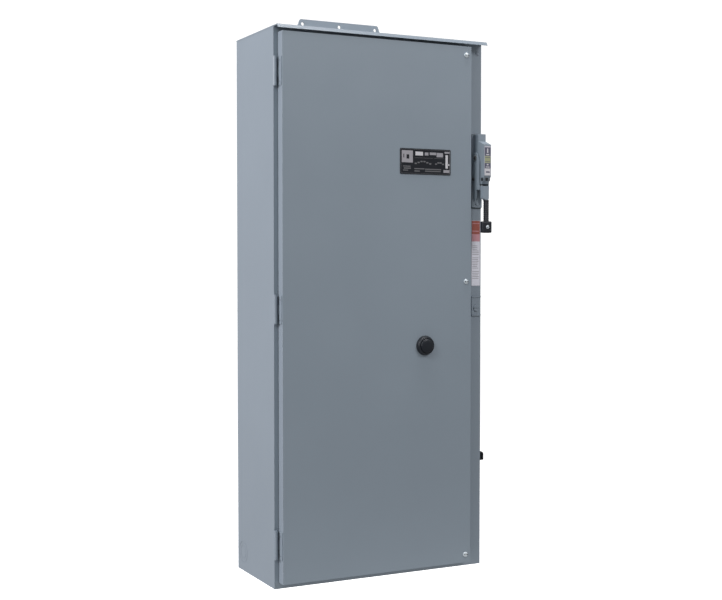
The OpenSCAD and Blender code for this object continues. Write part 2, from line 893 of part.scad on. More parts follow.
// Rails on the breaker's face that guide the slide, with cable ferrules
module operator_frame() {
    rail_x = 45;
    rail_w = 4;
    guide_w = 3;
    guide_t = 2.1;
    bar = 6;
    play = 0.3;
    ferrule_r = 4.4;
    color(ZINC) difference() {
        union() {
            for (s = [-1, 1]) {
                inner = brk_x + s * (rail_x + rail_w / 2);
                lip_x = brk_x + s * (rail_x - guide_w / 2);
                slab(inner - rail_w / 2, inner + rail_w / 2, rail_d, rail_front,
                     rail_z[0], rail_z[1]);
                for (d = [slide_d - play - guide_t, slide_d + slide_t + play])
                    slab(lip_x - guide_w / 2, lip_x + guide_w / 2, d, d + guide_t,
                         rail_z[0], rail_z[1]);
            }
            for (z = [rail_z[0], rail_z[1] - bar])
                slab(brk_x - rail_x - rail_w, brk_x + rail_x + rail_w, rail_d,
                     rail_front, z, z + bar);
            rod_z(brk_x, pull_d, ferrule_z[0], rail_z[0] + bar, ferrule_r);
            rod_z(brk_x, pull_d, rail_z[1] - bar, ferrule_z[1], ferrule_r);
        }
        for (span = [[ferrule_z[0] - 1, rail_z[0] + bar + 1],
                     [rail_z[1] - bar - 1, ferrule_z[1] + 1]])
            rod_z(brk_x, pull_d, span[0], span[1], pull_r + RUN);
    }
}

// Crossbar that takes the toggle through its window, with a pull rod at each end
module operator_slide() {
    mid = brk_mid - slide_stroke / 2;
    half = 44.5;
    tall = 20;
    color("orange") {
        difference() {
            slab(brk_x - half, brk_x + half, slide_d, slide_d + slide_t,
                 mid - tall, mid + tall);
            slab(brk_x - 12, brk_x + 12, slide_d - 1, slide_d + slide_t + 1,
                 mid - 7, mid + 7);
        }
        rod_z(brk_x, pull_d, mid + tall - 1, rail_z[1] + 1, pull_r);
        rod_z(brk_x, pull_d, ferrule_z[0] + 6, mid - tall + 1, pull_r);
    }
}

// ---- Power terminals and conductors ----

// Box lug around an upright cable, its back at depth d
module lug(x, d, z0) {
    difference() {
        union() {
            slab(x - lug_w / 2, x + lug_w / 2, d, d + lug_w, z0, z0 + lug_h);
            rod_d(x, d + lug_w, d + lug_w + 2, z0 + lug_h / 2, 4.5);
        }
        rod_z(x, d + lug_w / 2, z0 - 1, z0 + lug_h + 1, cable_r);
    }
}

module cable_lugs() {
    color(ZINC) {
        for (x = pole_xs(brk_x, pole_pitch),
             z = [brk_z[0] + 6, brk_z[1] - lug_h - 6])
            lug(x, lug_d, z);
        for (mid = [normal_x, emergency_x], x = pole_xs(mid, pole_pitch))
            lug(x, lug_d, con_lug_z);
        for (x = pole_xs(emergency_x, pole_pitch)) lug(x, lug_d, source_z + 20);
        for (x = pole_xs(load_x, load_pitch)) lug(x, lug_d, load_block_z + 36);
        for (i = [0:2])
            lug(load_x + (i - 1) * load_pitch, bar_d + strap_t,
                bar_z[i] - lug_h / 2);
    }
}

// Moulded base for three lugs, with a barrier between neighbours
module lug_block(mid, pitch, z0) {
    half = pitch + lug_w;
    slab(mid - half, mid + half, dev_d, lug_d, z0, z0 + block_h);
    for (x = [mid - pitch / 2, mid + pitch / 2])
        slab(x - 1.5, x + 1.5, lug_d, lug_d + 23, z0, z0 + block_h);
}

module lug_blocks() {
    color(BLACK) {
        lug_block(emergency_x, pole_pitch, source_z);
        lug_block(load_x, load_pitch, load_block_z);
    }
}

// Riser from each lower terminal, and the crossbar that joins each phase
module load_busbars() {
    strap = 8;
    tall = 10;
    riser_top = 592;
    color(COPPER) for (i = [0:2]) {
        xs = [for (mid = [emergency_x, normal_x]) mid + (i - 1) * pole_pitch];
        for (x = xs) {
            slab(x - strap, x + strap, lug_d, lug_d + strap_t, bar_z[i] - tall,
                 riser_top);
            slab(x - strap + 2, x + strap - 2, lug_d + strap_t, bar_d,
                 bar_z[i] - tall + 3, bar_z[i] + tall - 3);
        }
        slab(xs[0] - strap, xs[1] + strap, bar_d, bar_d + strap_t,
             bar_z[i] - tall, bar_z[i] + tall);
    }
}

module power_cables() {
    r = cable_r - RUN;
    bar_cable_d = bar_d + strap_t + lug_w / 2;
    color(BLACK) {
        for (x = pole_xs(normal_x, pole_pitch))
            rod_z(x, cable_d, con_lug_z + 5, brk_z[0] + 24, r);
        for (x = pole_xs(emergency_x, pole_pitch))
            rod_z(x, cable_d, con_lug_z + 5, source_z + 38, r);
        for (i = [0:2]) {
            x = load_x + (i - 1) * load_pitch;
            bent_rod([[x, bar_cable_d, bar_z[i] + 6], [x, bar_cable_d, 240],
                      [x, cable_d, 205], [x, cable_d, load_block_z + 41]], r);
        }
    }
}

// ---- Contactors ----

// Moulded base with a barrier between neighbouring terminals
module contactor(mid) {
    barrier = 2;
    slab(mid - con_w / 2, mid + con_w / 2, dev_d, con_d, con_z[0], con_z[1]);
    for (s = [-1, 1]) {
        x = mid + s * pole_pitch / 2;
        slab(x - barrier, x + barrier, con_d, con_d + 24, arc_z[1] + 0.5,
             con_z[1]);
        slab(x - barrier, x + barrier, con_d, con_d + 12, con_z[0],
             arc_z[0] - 0.5);
    }
}

module normal_contactor() {
    color(BLACK) contactor(normal_x);
}

module emergency_contactor() {
    color(BLACK) contactor(emergency_x);
}

// Covers over the contacts, open towards the rocker
module arc_covers() {
    w = con_w / 2 - 2;
    wall = 3;
    color(BLACK) for (mid = [normal_x, emergency_x]) difference() {
        slab(mid - w, mid + w, con_d, arc_d, arc_z[0], arc_z[1]);
        slab(mid - w + wall, mid + w - wall, con_d - 1, arc_d - wall,
             arc_z[0] + wall, arc_z[1] - wall);
        for (x = pole_xs(mid, pole_pitch))
            slab(x - 9, x + 9, con_d - 1, con_d + 4, arc_z[0] - 1, arc_z[1] + 1);
        side = mid > rocker_x ? mid - w : mid + w;
        slab(side - 4, side + 4, con_d + 20, arc_d - 8, rocker_z - 15,
             rocker_z + 25);
    }
}

// Stationary plates with their contact tips, and the lower plates' screws
module contact_terminals() {
    strap = 8;
    tip = 6;
    tip_h = 2 * tip;
    color(COPPER) for (mid = [normal_x, emergency_x], x = pole_xs(mid, pole_pitch)) {
        for (span = [[tip_z[1], con_z[1] - 3], [con_z[0] + 3, tip_z[0] + tip_h]])
            slab(x - strap, x + strap, con_d, lug_d, span[0], span[1]);
        for (z = tip_z)
            slab(x - tip, x + tip, lug_d, closed_d - 0.1, z, z + tip_h);
        rod_d(x, lug_d + strap_t, lug_d + 2 * strap_t, 580, 5);
    }
}

// Moving bridges on their bar. open is how far they stand off the tips, and
// side points from the contactor to the rocker.
module crosshead(mid, open, side) {
    d = closed_d + open;
    bridge_t = 3;
    bar = [d + 16, d + 28];
    half = 46;
    pin_x = rocker_x - side * rocker_arm;
    bar_x = mid + side * half;
    arm_z = rocker_z + 10;
    for (x = pole_xs(mid, pole_pitch)) {
        slab(x - 6, x + 6, d, d + bridge_t, tip_z[0], tip_z[1] + 12);
        slab(x - 4, x + 4, d + bridge_t, bar[0], rocker_z - 8, rocker_z + 8);
    }
    slab(mid - half, mid + half, bar[0], bar[1], rocker_z - 12, arm_z + 8);
    slab(min(bar_x, pin_x - pin_r), max(bar_x, pin_x + pin_r), bar[0] + 2,
         bar[1], arm_z, arm_z + 8);
    rod_z(pin_x, d + pin_out, rocker_z - 12, arm_z + 2, pin_r);
}

module normal_crosshead() {
    color("ivory") crosshead(normal_x, 0, -1);
}

module emergency_crosshead() {
    color("ivory") crosshead(emergency_x, contact_travel, 1);
}

// Beam with a forked slot at each end, so that one set opens as the other closes
module transfer_rocker() {
    end = rocker_arm + 6;
    beam = 12;
    slot = 2 * pin_r + 0.5;
    color(ZINC)
        at(rocker_x, rocker_d, rocker_z)
        rotate([0, 0, rocker_angle]) difference() {
            union() {
                cube([2 * end, beam, 14], center = true);
                cylinder(r = 9, h = 14, center = true);
                cylinder(r = pin_r, h = 30, center = true);
            }
            for (s = [-1, 1])
                translate([s * (rocker_arm + 1.5), 0, 0])
                    cube([14, slot, 20], center = true);
        }
}

// Bracket whose two ears hold the rocker's pivot
module rocker_bracket() {
    ear = 4;
    reach = 15;
    color(ZINC) difference() {
        union() {
            slab(rocker_x - 12, rocker_x + 12, dev_d, dev_d + 3, rocker_z - 18,
                 rocker_z + 18);
            for (z = [rocker_z - reach, rocker_z + reach - ear])
                slab(rocker_x - 10, rocker_x + 10, dev_d, rocker_d + 8, z, z + ear);
        }
        rod_z(rocker_x, rocker_d, rocker_z - 20, rocker_z + 20, pin_r + RUN);
    }
}

// ---- Controls ----

// Box with a raised face and a row of terminals in a groove at each end
module transfer_controller() {
    x0 = controller_x[0];
    x1 = controller_x[1];
    z0 = controller_z[0];
    z1 = controller_z[1];
    front = 56;
    groove_d = 40;
    pitch = 11;
    color("darkslategray") difference() {
        union() {
            slab(x0, x1, dev_d, front, z0, z1);
            slab(x0 + 6, x1 - 6, front, front + 6, z0 + 22, z1 - 22);
        }
        for (z = [z0 - 0.5, z1 - 14.5])
            slab(x0 + 8, x1 - 8, groove_d, front + 1, z, z + 15);
    }
    color(LIGHT) for (z = [z0 + 4, z1 - 10], i = [0:11])
        slab(x0 + pitch * (i + 1), x0 + pitch * (i + 1) + 8, groove_d,
             front - 4, z, z + 7);
}

module transformer() {
    x0 = core_x[0];
    x1 = core_x[1];
    foot = 3;
    core_d = dev_d + 2 * foot;
    coil_d = 84;
    color(ZINC) {
        slab(x0, x1, dev_d, dev_d + foot, core_z[0], core_z[1]);
        slab(x0 + 22, x1 - 22, dev_d + foot, core_d, core_z[0] + 5, core_z[1] - 5);
        slab(x0 + 10, x1 - 10, core_d, coil_d, core_z[0], core_z[1]);
    }
    color(COPPER)
        slab(x0 + 18, x1 - 18, coil_d, coil_d + 10, core_z[0] + 17, core_z[1] - 17);
}

// Three fuses between their clips on one base
module fuse_block() {
    base_d = 34;
    fuse_r = 7;
    color(BLACK) slab(fuse_x[0], fuse_x[1], dev_d, base_d, fuse_z[0], fuse_z[1]);
    color(LIGHT) for (x = pole_xs((fuse_x[0] + fuse_x[1]) / 2, 32)) {
        rod_z(x, base_d + 12, fuse_z[0] + 16, fuse_z[1] - 16, fuse_r);
        for (z = [fuse_z[0] + 6, fuse_z[1] - 16])
            slab(x - 8, x + 8, base_d, base_d + 19, z, z + 10);
    }
}

module terminal_strip() {
    rail = dev_d + 6;
    pitch = 9;
    color(ZINC) slab(strip_x[0], strip_x[1], dev_d, rail, strip_z[0] + 8,
                     strip_z[1] - 8);
    color(LIGHT) for (i = [0:15]) {
        x = strip_x[0] + 4 + i * pitch;
        slab(x, x + pitch - 0.4, rail, 56, strip_z[0], strip_z[1]);
    }
}

module control_devices() {
    transformer();
    fuse_block();
    terminal_strip();
}

// Drilled bars for the earth wires below and the neutral wires above
module ground_neutral_bars() {
    bar = [36, 46];
    tall = 14;
    for (z = [earth_z, neutral_z]) {
        color(z == earth_z ? COPPER : ZINC) difference() {
            slab(earth_x[0], earth_x[1], bar[0], bar[1], z, z + tall);
            for (i = [0:6])
                rod_z(earth_x[0] + 13 + i * tall, (bar[0] + bar[1]) / 2, z - 1,
                      z + tall + 1, 3);
        }
        color(ZINC) for (i = [0:6])
            rod_d(earth_x[0] + 13 + i * tall, bar[1], bar[1] + 4, z + tall / 2, 3.8);
        color(z == earth_z ? ZINC : BLACK) for (x = [earth_x[0] + 2, earth_x[1] - 12])
            slab(x, x + 10, dev_d, bar[0], z + 1, z + tall - 1);
    }
}

back_panel();
left_side();
right_side();
top_panel();
bottom_panel();
drip_hood();
upper_bracket();
lower_bracket();
body_hinge_leaves();
hinge_pins();
door_gasket();
mounting_panel();
panel_studs();
screw_receivers();
side_staple();
flange_screws();
safety_label();
interlock_plate();
defeater_screw();
handle_gasket();
handle_base();
handle_housing();
indicator_label();
handle_lever();
handle_grip();
handle_knob();
knob_screw();
handle_shaft();
operating_cables();
door_panel();
door_hinge_leaves();
nameplate();
door_stiffener();
button_bezel();
button_nut();
button_block();
button_cap();
diagram_pocket();
door_screw(screw_zs[0]);  // door_screw_top
door_screw(screw_zs[1]);  // door_screw_middle
door_screw(screw_zs[2]);  // door_screw_bottom
breaker_case();
breaker_toggle();
operator_frame();
operator_slide();
cable_lugs();
lug_blocks();
normal_contactor();
emergency_contactor();
arc_covers();
normal_crosshead();
emergency_crosshead();
transfer_rocker();
rocker_bracket();
contact_terminals();
load_busbars();
power_cables();
transfer_controller();
control_devices();
ground_neutral_bars();
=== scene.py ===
"""Looks of the wall-mounted automatic transfer switch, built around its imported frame."""

import json
import math
import random

import bmesh
import bpy
from mathutils import Matrix, Vector


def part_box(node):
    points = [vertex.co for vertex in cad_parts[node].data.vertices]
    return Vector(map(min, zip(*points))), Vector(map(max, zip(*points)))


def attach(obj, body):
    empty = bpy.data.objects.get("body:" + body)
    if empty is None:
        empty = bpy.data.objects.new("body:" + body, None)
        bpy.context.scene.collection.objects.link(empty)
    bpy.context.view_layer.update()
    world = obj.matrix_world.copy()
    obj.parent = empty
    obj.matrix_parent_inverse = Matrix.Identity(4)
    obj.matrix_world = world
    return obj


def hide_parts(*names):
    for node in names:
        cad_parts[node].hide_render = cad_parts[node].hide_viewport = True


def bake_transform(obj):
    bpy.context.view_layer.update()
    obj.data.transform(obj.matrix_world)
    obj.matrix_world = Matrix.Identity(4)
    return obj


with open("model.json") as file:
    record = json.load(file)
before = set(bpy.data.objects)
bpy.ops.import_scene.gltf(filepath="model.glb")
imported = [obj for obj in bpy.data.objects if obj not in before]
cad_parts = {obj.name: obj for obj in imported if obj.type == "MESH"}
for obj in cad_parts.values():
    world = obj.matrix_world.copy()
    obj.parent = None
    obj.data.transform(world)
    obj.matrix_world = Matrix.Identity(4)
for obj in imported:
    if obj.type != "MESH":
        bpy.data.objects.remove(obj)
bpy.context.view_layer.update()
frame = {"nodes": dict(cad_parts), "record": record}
nodes = frame["nodes"]
MM = 0.001

# The cabinet's lower left corner, in metres
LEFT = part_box("left_side")[0].x
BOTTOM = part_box("bottom_panel")[0].z

# Cabinet millimetres: x from the left face, depth forward of the wall, z up
FLANGE_FRONT = 222.4
DOOR_FRONT = 247.0
HANDLE_X, PIVOT_Z = 511.5, 954
HOUSING_FRONT = 272.5
BREAKER_FRONT = 100.0
COVER_FRONT = 121.6
CONTROLLER_FRONT = 62.5
LUG_D, LUG_SCREW_D = 81.5, 91.5
PULL_X, PULL_D = 352.5, 109
POLE = 35.0
NORMAL, EMERGENCY = 352.5, 137.5
LOAD_X, LOAD_PITCH, LOAD_D = 245.0, 30.0, 97.5
LOAD_BAR_Z = (540.0, 515.0, 490.0)
LOOP_X, LOOP_D = 36, 200
LEAD_D, LEAD_Z = 239, 566
BRAID_FROM, BRAID_TO = (24, 212, 170), (46, 238, 330)

FORWARD = (0, -1, 0)
WHITE = (1.0, 1.0, 1.0, 1.0)


def place(x, d, z):
    """World point from millimetres right of the left face, forward of the wall and up."""
    return Vector((LEFT + x * MM, -d * MM, BOTTOM + z * MM))


# ---- Camera and studio ----

CAMERA_AT = (-1.306, -2.720, 0.1064)
CAMERA_LENS, CAMERA_YAW, CAMERA_PITCH = 62.3, 26.66, -1.89
FLOOR_Z, FLOOR_REACH, FLOOR_GLOW = -1.05, 14.0, 0.75
AMBIENT, BACKDROP = 0.34, 1.1

# name, place, aim, size, watts, colour
LIGHTS = (
    ("key", (-3.9, 0.1, 1.2), (0, 0, 0.0), (1.5, 2.2), 115, (1.0, 0.938, 0.955)),
    ("upper_left", (-3.2, -2.0, 2.4), (0, 0, -0.1), (1.2, 1.2), 51, (0.925, 0.99, 1.0)),
    ("upper_right", (1.5, -3.0, 2.4), (0, 0, -0.1), (1.2, 1.0), 47, (0.98, 0.965, 0.985)),
    ("overhead", (0.0, -0.48, 2.8), (0, -0.2, 0.6), (1.8, 0.4), 42, (1.0, 0.98, 0.985)),
    ("behind", (1.6, 3.6, 1.6), (0, 0, 0), (1.6, 1.6), 60, (0.98, 0.98, 1.0)),
    ("floor_bounce", (0, -0.44, -0.79), (0, -0.25, -0.6), (1.1, 0.14), 0.4, (1, 1, 1)),
)


def add_camera():
    """From the left of the front, level with the cabinet's middle."""
    data = bpy.data.cameras.new("camera")
    data.lens = CAMERA_LENS
    data.sensor_width = 36.0
    data.clip_end = 100.0
    camera = bpy.data.objects.new("camera", data)
    bpy.context.scene.collection.objects.link(camera)
    camera.location = CAMERA_AT
    pitch, yaw = math.radians(CAMERA_PITCH), math.radians(CAMERA_YAW)
    camera.rotation_euler = (math.pi / 2 + pitch, 0.0, -yaw)
    bpy.context.scene.camera = camera


def add_area(name, place_at, aim, size, power, color):
    data = bpy.data.lights.new(name, "AREA")
    data.shape = "RECTANGLE"
    data.size, data.size_y = size
    data.energy = power
    data.color = color
    lamp = bpy.data.objects.new(name, data)
    bpy.context.scene.collection.objects.link(lamp)
    lamp.location = place_at
    lamp.rotation_euler = (Vector(aim) - Vector(place_at)).to_track_quat("-Z", "Y").to_euler()
    lamp.visible_camera = False


def add_studio():
    """Soft lights in a pale room that the camera sees as plain white."""
    world = bpy.data.worlds.new("studio")
    bpy.context.scene.world = world
    world.use_nodes = True
    tree = world.node_tree
    ambient, seen = tree.nodes["Background"], tree.nodes.new("ShaderNodeBackground")
    for backdrop, strength in ((ambient, AMBIENT), (seen, BACKDROP)):
        backdrop.inputs["Color"].default_value = WHITE
        backdrop.inputs["Strength"].default_value = strength
    rays = tree.nodes.new("ShaderNodeLightPath")
    chosen = tree.nodes.new("ShaderNodeMixShader")
    tree.links.new(rays.outputs["Is Camera Ray"], chosen.inputs[0])
    tree.links.new(ambient.outputs[0], chosen.inputs[1])
    tree.links.new(seen.outputs[0], chosen.inputs[2])
    tree.links.new(chosen.outputs[0], tree.nodes["World Output"].inputs["Surface"])
    bpy.context.scene.view_settings.view_transform = "Standard"
    for light in LIGHTS:
        add_area(*light)

    sheet = bmesh.new()
    sheet.faces.new([sheet.verts.new((x * FLOOR_REACH, y * FLOOR_REACH, FLOOR_Z))
                     for x, y in ((-1, -1), (1, -1), (1, 1), (-1, 1))])
    floor = make_object("floor", sheet)
    paper = bpy.data.materials.new("floor_paper")
    paper.use_nodes = True
    shader = paper.node_tree.nodes["Principled BSDF"]
    shader.inputs["Base Color"].default_value = (0.93, 0.93, 0.93, 1)
    shader.inputs["Roughness"].default_value = 0.9
    shader.inputs["Emission Color"].default_value = WHITE
    shader.inputs["Emission Strength"].default_value = FLOOR_GLOW
    floor.data.materials.append(paper)
    floor.visible_diffuse = False
    floor.visible_glossy = False


# ---- Mesh helpers ----

def make_object(name, mesh):
    data = bpy.data.meshes.new(name)
    mesh.normal_update()
    mesh.to_mesh(data)
    mesh.free()
    piece = bpy.data.objects.new(name, data)
    bpy.context.scene.collection.objects.link(piece)
    return piece


def flow(points, steps=6):
    """World points of a smooth curve through (x, d, z) points in millimetres."""
    spots = [place(*point) for point in points]
    ends = [spots[0] * 2 - spots[1]] + spots + [spots[-1] * 2 - spots[-2]]
    curve = []
    for a, b, c, d in zip(ends, ends[1:], ends[2:], ends[3:]):
        for step in range(steps):
            t = step / steps
            curve.append(0.5 * (2 * b + (c - a) * t + (2 * a - 5 * b + 4 * c - d) * t * t
                                + (3 * b - a - 3 * c + d) * t ** 3))
    return curve + [spots[-1]]


class Shape:
    """One piece's mesh, built in cabinet millimetres: x, depth forward of the wall, height."""

    def __init__(self):
        self.mesh = bmesh.new()

    def block(self, x, d, z, edge=0.0, segments=1):
        """Box between the pairs x, d and z, with its edges rounded off by edge."""
        low, high = place(x[0], d[1], z[0]), place(x[1], d[0], z[1])
        made = bmesh.ops.create_cube(self.mesh, size=1.0)["verts"]
        for vert in made:
            for axis in range(3):
                vert.co[axis] = high[axis] if vert.co[axis] > 0 else low[axis]
        if edge:
            edges = {e for vert in made for e in vert.link_edges}
            bmesh.ops.bevel(self.mesh, geom=list(edges), offset=edge * MM, segments=segments,
                            affect="EDGES", profile=0.5)
        return self

    def lathe(self, center, axis, profile, sides=40):
        """Closed profile of (radius, distance) pairs turned about an axis through center."""
        origin = place(*center)
        ahead = Vector(axis).normalized()
        across = ahead.orthogonal().normalized()
        up = ahead.cross(across)
        rings = []
        for radius, along in profile:
            base = origin + ahead * along * MM
            if radius <= 0:
                rings.append([self.mesh.verts.new(base)])
                continue
            rings.append([self.mesh.verts.new(
                base + (across * math.cos(2 * math.pi * i / sides)
                        + up * math.sin(2 * math.pi * i / sides)) * radius * MM)
                for i in range(sides)])
        self.join(rings)
        return self

    def join(self, rings):
        """Faces between neighbouring rings; a ring of one vertex is a tip."""
        for one, two in zip(rings, rings[1:]):
            count = max(len(one), len(two))
            for i in range(count):
                j = (i + 1) % count
                corners = [one[i % len(one)], one[j % len(one)], two[j % len(two)],
                           two[i % len(two)]]
                corners = list(dict.fromkeys(corners))
                if len(corners) > 2:
                    self.mesh.faces.new(corners)
        for ring in (rings[0], rings[-1]):
            if len(ring) > 2:
                self.mesh.faces.new(ring)

    def sweep(self, curve, radius, sides=12, flat=1.0):
        """Tube along world points; a flat below 1 squeezes its section to a strap."""
        frame_up = None
        rings = []
        for i, spot in enumerate(curve):
            ahead = (curve[min(i + 1, len(curve) - 1)] - curve[max(i - 1, 0)]).normalized()
            frame_up = ahead.orthogonal() if frame_up is None else frame_up
            frame_up = (frame_up - ahead * frame_up.dot(ahead)).normalized()
            side = ahead.cross(frame_up)
            rings.append([self.mesh.verts.new(
                spot + (frame_up * math.cos(2 * math.pi * k / sides)
                        + side * math.sin(2 * math.pi * k / sides) * flat) * radius * MM)
                for k in range(sides)])
        self.join(rings)
        return self

    def loft(self, levels, power=4.0, sides=32):
        """Upright body through (x, d, z, half width, half depth) levels, squarish in plan."""
        rings = []
        for x, d, z, half_x, half_d in levels:
            ring = []
            for i in range(sides):
                c, s = math.cos(2 * math.pi * i / sides), math.sin(2 * math.pi * i / sides)
                reach = (abs(c) ** power + abs(s) ** power) ** (-1 / power)
                ring.append(self.mesh.verts.new(
                    place(x + half_x * c * reach, d + half_d * s * reach, z)))
            rings.append(ring)
        self.join(rings)
        return self

    def done(self, name, finish, body="cabinet", sharp=38, slot=False):
        """The finished piece, riding on its body; slot is not used."""
        bmesh.ops.recalc_face_normals(self.mesh, faces=self.mesh.faces)
        for face in self.mesh.faces:
            face.smooth = True
        piece = make_object(name, self.mesh)
        piece.data.set_sharp_from_angle(angle=math.radians(sharp))
        piece.data.materials.append(FINISHES[finish])
        if body:
            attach(piece, body)
        return piece


# ---- Materials ----

def node_of(tree, kind, **inputs):
    """A shader node with its named inputs set, or linked where a socket is given."""
    item = tree.nodes.new(kind)
    for name, value in inputs.items():
        socket = item.inputs[name.replace("_", " ")]
        if isinstance(value, bpy.types.NodeSocket):
            tree.links.new(value, socket)
        else:
            socket.default_value = value
    return item


def noise(tree, coords, scale, detail, stretch=(1, 1, 1)):
    mapping = node_of(tree, "ShaderNodeMapping", Vector=coords, Scale=stretch)
    return node_of(tree, "ShaderNodeTexNoise", Vector=mapping.outputs["Vector"],
                   Scale=scale, Detail=detail, Roughness=0.55).outputs["Fac"]


def ranged(tree, value, low, high, start=0.3, end=0.7):
    return node_of(tree, "ShaderNodeMapRange", Value=value, From_Min=start, From_Max=end,
                   To_Min=low, To_Max=high).outputs["Result"]


def blend_colors(tree, fac, a, b):
    mix = tree.nodes.new("ShaderNodeMix")
    mix.data_type = "RGBA"
    for socket, value in ((mix.inputs["Factor"], fac), (mix.inputs[6], a), (mix.inputs[7], b)):
        if isinstance(value, bpy.types.NodeSocket):
            tree.links.new(value, socket)
        else:
            socket.default_value = value
    return mix.outputs[2]


def shade(color, factor):
    return (*(c * factor for c in color), 1.0)


FINISHES = {}


def add_finish(name, color, rough, metal=0.0, mottle=(6.0, 0.05), grain=(900.0, 0.00004),
               stretch=(1, 1, 1), rough_spread=0.06, specks=0.0, specular=0.5):
    """A procedural finish: tone that wanders, roughness that wanders, and a fine relief."""
    material = bpy.data.materials.new(name)
    material.use_nodes = True
    tree = material.node_tree
    shader = tree.nodes["Principled BSDF"]
    coords = tree.nodes.new("ShaderNodeTexCoord").outputs["Object"]
    wander = noise(tree, coords, mottle[0], 4.0, stretch)
    tone = blend_colors(tree, ranged(tree, wander, 0.0, 1.0),
                        shade(color, 1 - mottle[1]), shade(color, 1 + mottle[1]))
    if specks:
        dots = noise(tree, coords, 420.0, 1.0)
        tone = blend_colors(tree, ranged(tree, dots, 0.0, specks, 0.62, 0.7),
                            tone, shade(color, 1.35))
    tree.links.new(tone, shader.inputs["Base Color"])
    smear = noise(tree, coords, mottle[0] * 3.1, 5.0, stretch)
    tree.links.new(ranged(tree, smear, rough - rough_spread, rough + rough_spread),
                   shader.inputs["Roughness"])
    relief = noise(tree, coords, grain[0], 2.0, stretch)
    bump = node_of(tree, "ShaderNodeBump", Height=relief, Distance=grain[1], Strength=1.0)
    tree.links.new(bump.outputs["Normal"], shader.inputs["Normal"])
    shader.inputs["Metallic"].default_value = metal
    shader.inputs["Specular IOR Level"].default_value = specular
    FINISHES[name] = material


PAINT = (0.252, 0.300, 0.350)
FILM = (1800.0, 0.00001)

add_finish("cabinet_paint", PAINT, 0.36, mottle=(2.2, 0.035), grain=(650.0, 0.00005), specks=0.05)
add_finish("panel_paint", (0.80, 0.80, 0.78), 0.4, mottle=(2.0, 0.02), grain=(650.0, 0.00004))
add_finish("zinc", (0.62, 0.62, 0.60), 0.34, metal=1.0, mottle=(60.0, 0.12),
           grain=(1500.0, 0.00002), rough_spread=0.1)
add_finish("bright_screw", (0.60, 0.66, 0.70), 0.34, metal=0.25, mottle=(200.0, 0.05),
           grain=(2500.0, 0.00001))
add_finish("black_steel", (0.035, 0.035, 0.038), 0.45, mottle=(80.0, 0.2),
           grain=(1400.0, 0.00003))
add_finish("gasket", (0.045, 0.048, 0.052), 0.85, mottle=(300.0, 0.25), grain=(1800.0, 0.0002))
add_finish("black_plastic", (0.011, 0.014, 0.020), 0.45, mottle=(25.0, 0.1),
           grain=(2200.0, 0.00004), specular=0.4)
add_finish("gloss_black", (0.006, 0.009, 0.015), 0.42, mottle=(30.0, 0.1),
           grain=(900.0, 0.00001), specular=0.4)
add_finish("grip_vinyl", (0.013, 0.014, 0.019), 0.5, mottle=(60.0, 0.15),
           grain=(1200.0, 0.00005))
add_finish("label", (0.52, 0.52, 0.58), 0.35, mottle=(12.0, 0.03), grain=FILM)
add_finish("nameplate", (0.007, 0.009, 0.014), 0.38, mottle=(20.0, 0.1), grain=FILM,
           specular=0.32)
add_finish("operator_yellow", (0.70, 0.36, 0.04), 0.38, mottle=(30.0, 0.08),
           grain=(900.0, 0.00003))
add_finish("copper", (0.78, 0.40, 0.24), 0.3, metal=1.0, mottle=(40.0, 0.15),
           grain=(1200.0, 0.00002), stretch=(0.15, 1, 1), rough_spread=0.1)
add_finish("grey_plastic", (0.12, 0.13, 0.14), 0.48, mottle=(25.0, 0.06),
           grain=(2200.0, 0.00004))
add_finish("ivory_plastic", (0.62, 0.56, 0.40), 0.45, mottle=(30.0, 0.06),
           grain=(2000.0, 0.00004))
add_finish("cable_black", (0.02, 0.02, 0.022), 0.38, mottle=(90.0, 0.15),
           grain=(1500.0, 0.00003))
add_finish("paper", (0.72, 0.72, 0.66), 0.5, mottle=(20.0, 0.03), grain=(900.0, 0.00002))
for ink, color in (("light", (0.62, 0.61, 0.64)), ("grey", (0.34, 0.33, 0.36)),
                   ("dim", (0.13, 0.13, 0.14)), ("dark", (0.11, 0.11, 0.16)),
                   ("yellow", (0.33, 0.35, 0.22)), ("orange", (0.36, 0.10, 0.075)),
                   ("pink", (0.60, 0.30, 0.34))):
    add_finish("print_" + ink, color, 0.4, grain=FILM)
add_finish("print_white", (0.80, 0.80, 0.88), 0.4, mottle=(30.0, 0.03), grain=FILM)
# Near-black painted shade: flat pieces in this finish sit where holes and screw slots are and stand
# in for the shade inside them
add_finish("hole", (0.012, 0.014, 0.018), 0.7, mottle=(60.0, 0.2))
add_finish("weld", PAINT, 0.42, mottle=(160.0, 0.10), grain=(420.0, 0.0004))
for wire, color, rough, spread in (("red", (0.50, 0.03, 0.025), 0.4, 0.1),
                                   ("blue", (0.03, 0.07, 0.40), 0.4, 0.1),
                                   ("white", (0.62, 0.62, 0.58), 0.45, 0.06),
                                   ("green", (0.05, 0.30, 0.07), 0.4, 0.1),
                                   ("yellow", (0.62, 0.42, 0.04), 0.4, 0.1)):
    add_finish("wire_" + wire, color, rough, mottle=(60.0, spread))
add_finish("ceramic", (0.70, 0.68, 0.62), 0.3, mottle=(80.0, 0.05))
add_finish("laminations", (0.20, 0.19, 0.18), 0.45, metal=0.7, mottle=(30.0, 0.1),
           grain=(1400.0, 0.0003), stretch=(0.02, 1, 0.02))
add_finish("winding", (0.50, 0.36, 0.12), 0.55, mottle=(25.0, 0.12), grain=(260.0, 0.0004),
           stretch=(1, 1, 0.1))
add_finish("display", (0.08, 0.14, 0.10), 0.12, mottle=(20.0, 0.05))
add_finish("lamp_green", (0.02, 0.35, 0.06), 0.15, mottle=(90.0, 0.1))
add_finish("lamp_red", (0.50, 0.02, 0.02), 0.15, mottle=(90.0, 0.1))
add_finish("braid", (0.60, 0.50, 0.38), 0.4, metal=0.9, mottle=(120.0, 0.2),
           grain=(900.0, 0.0004))


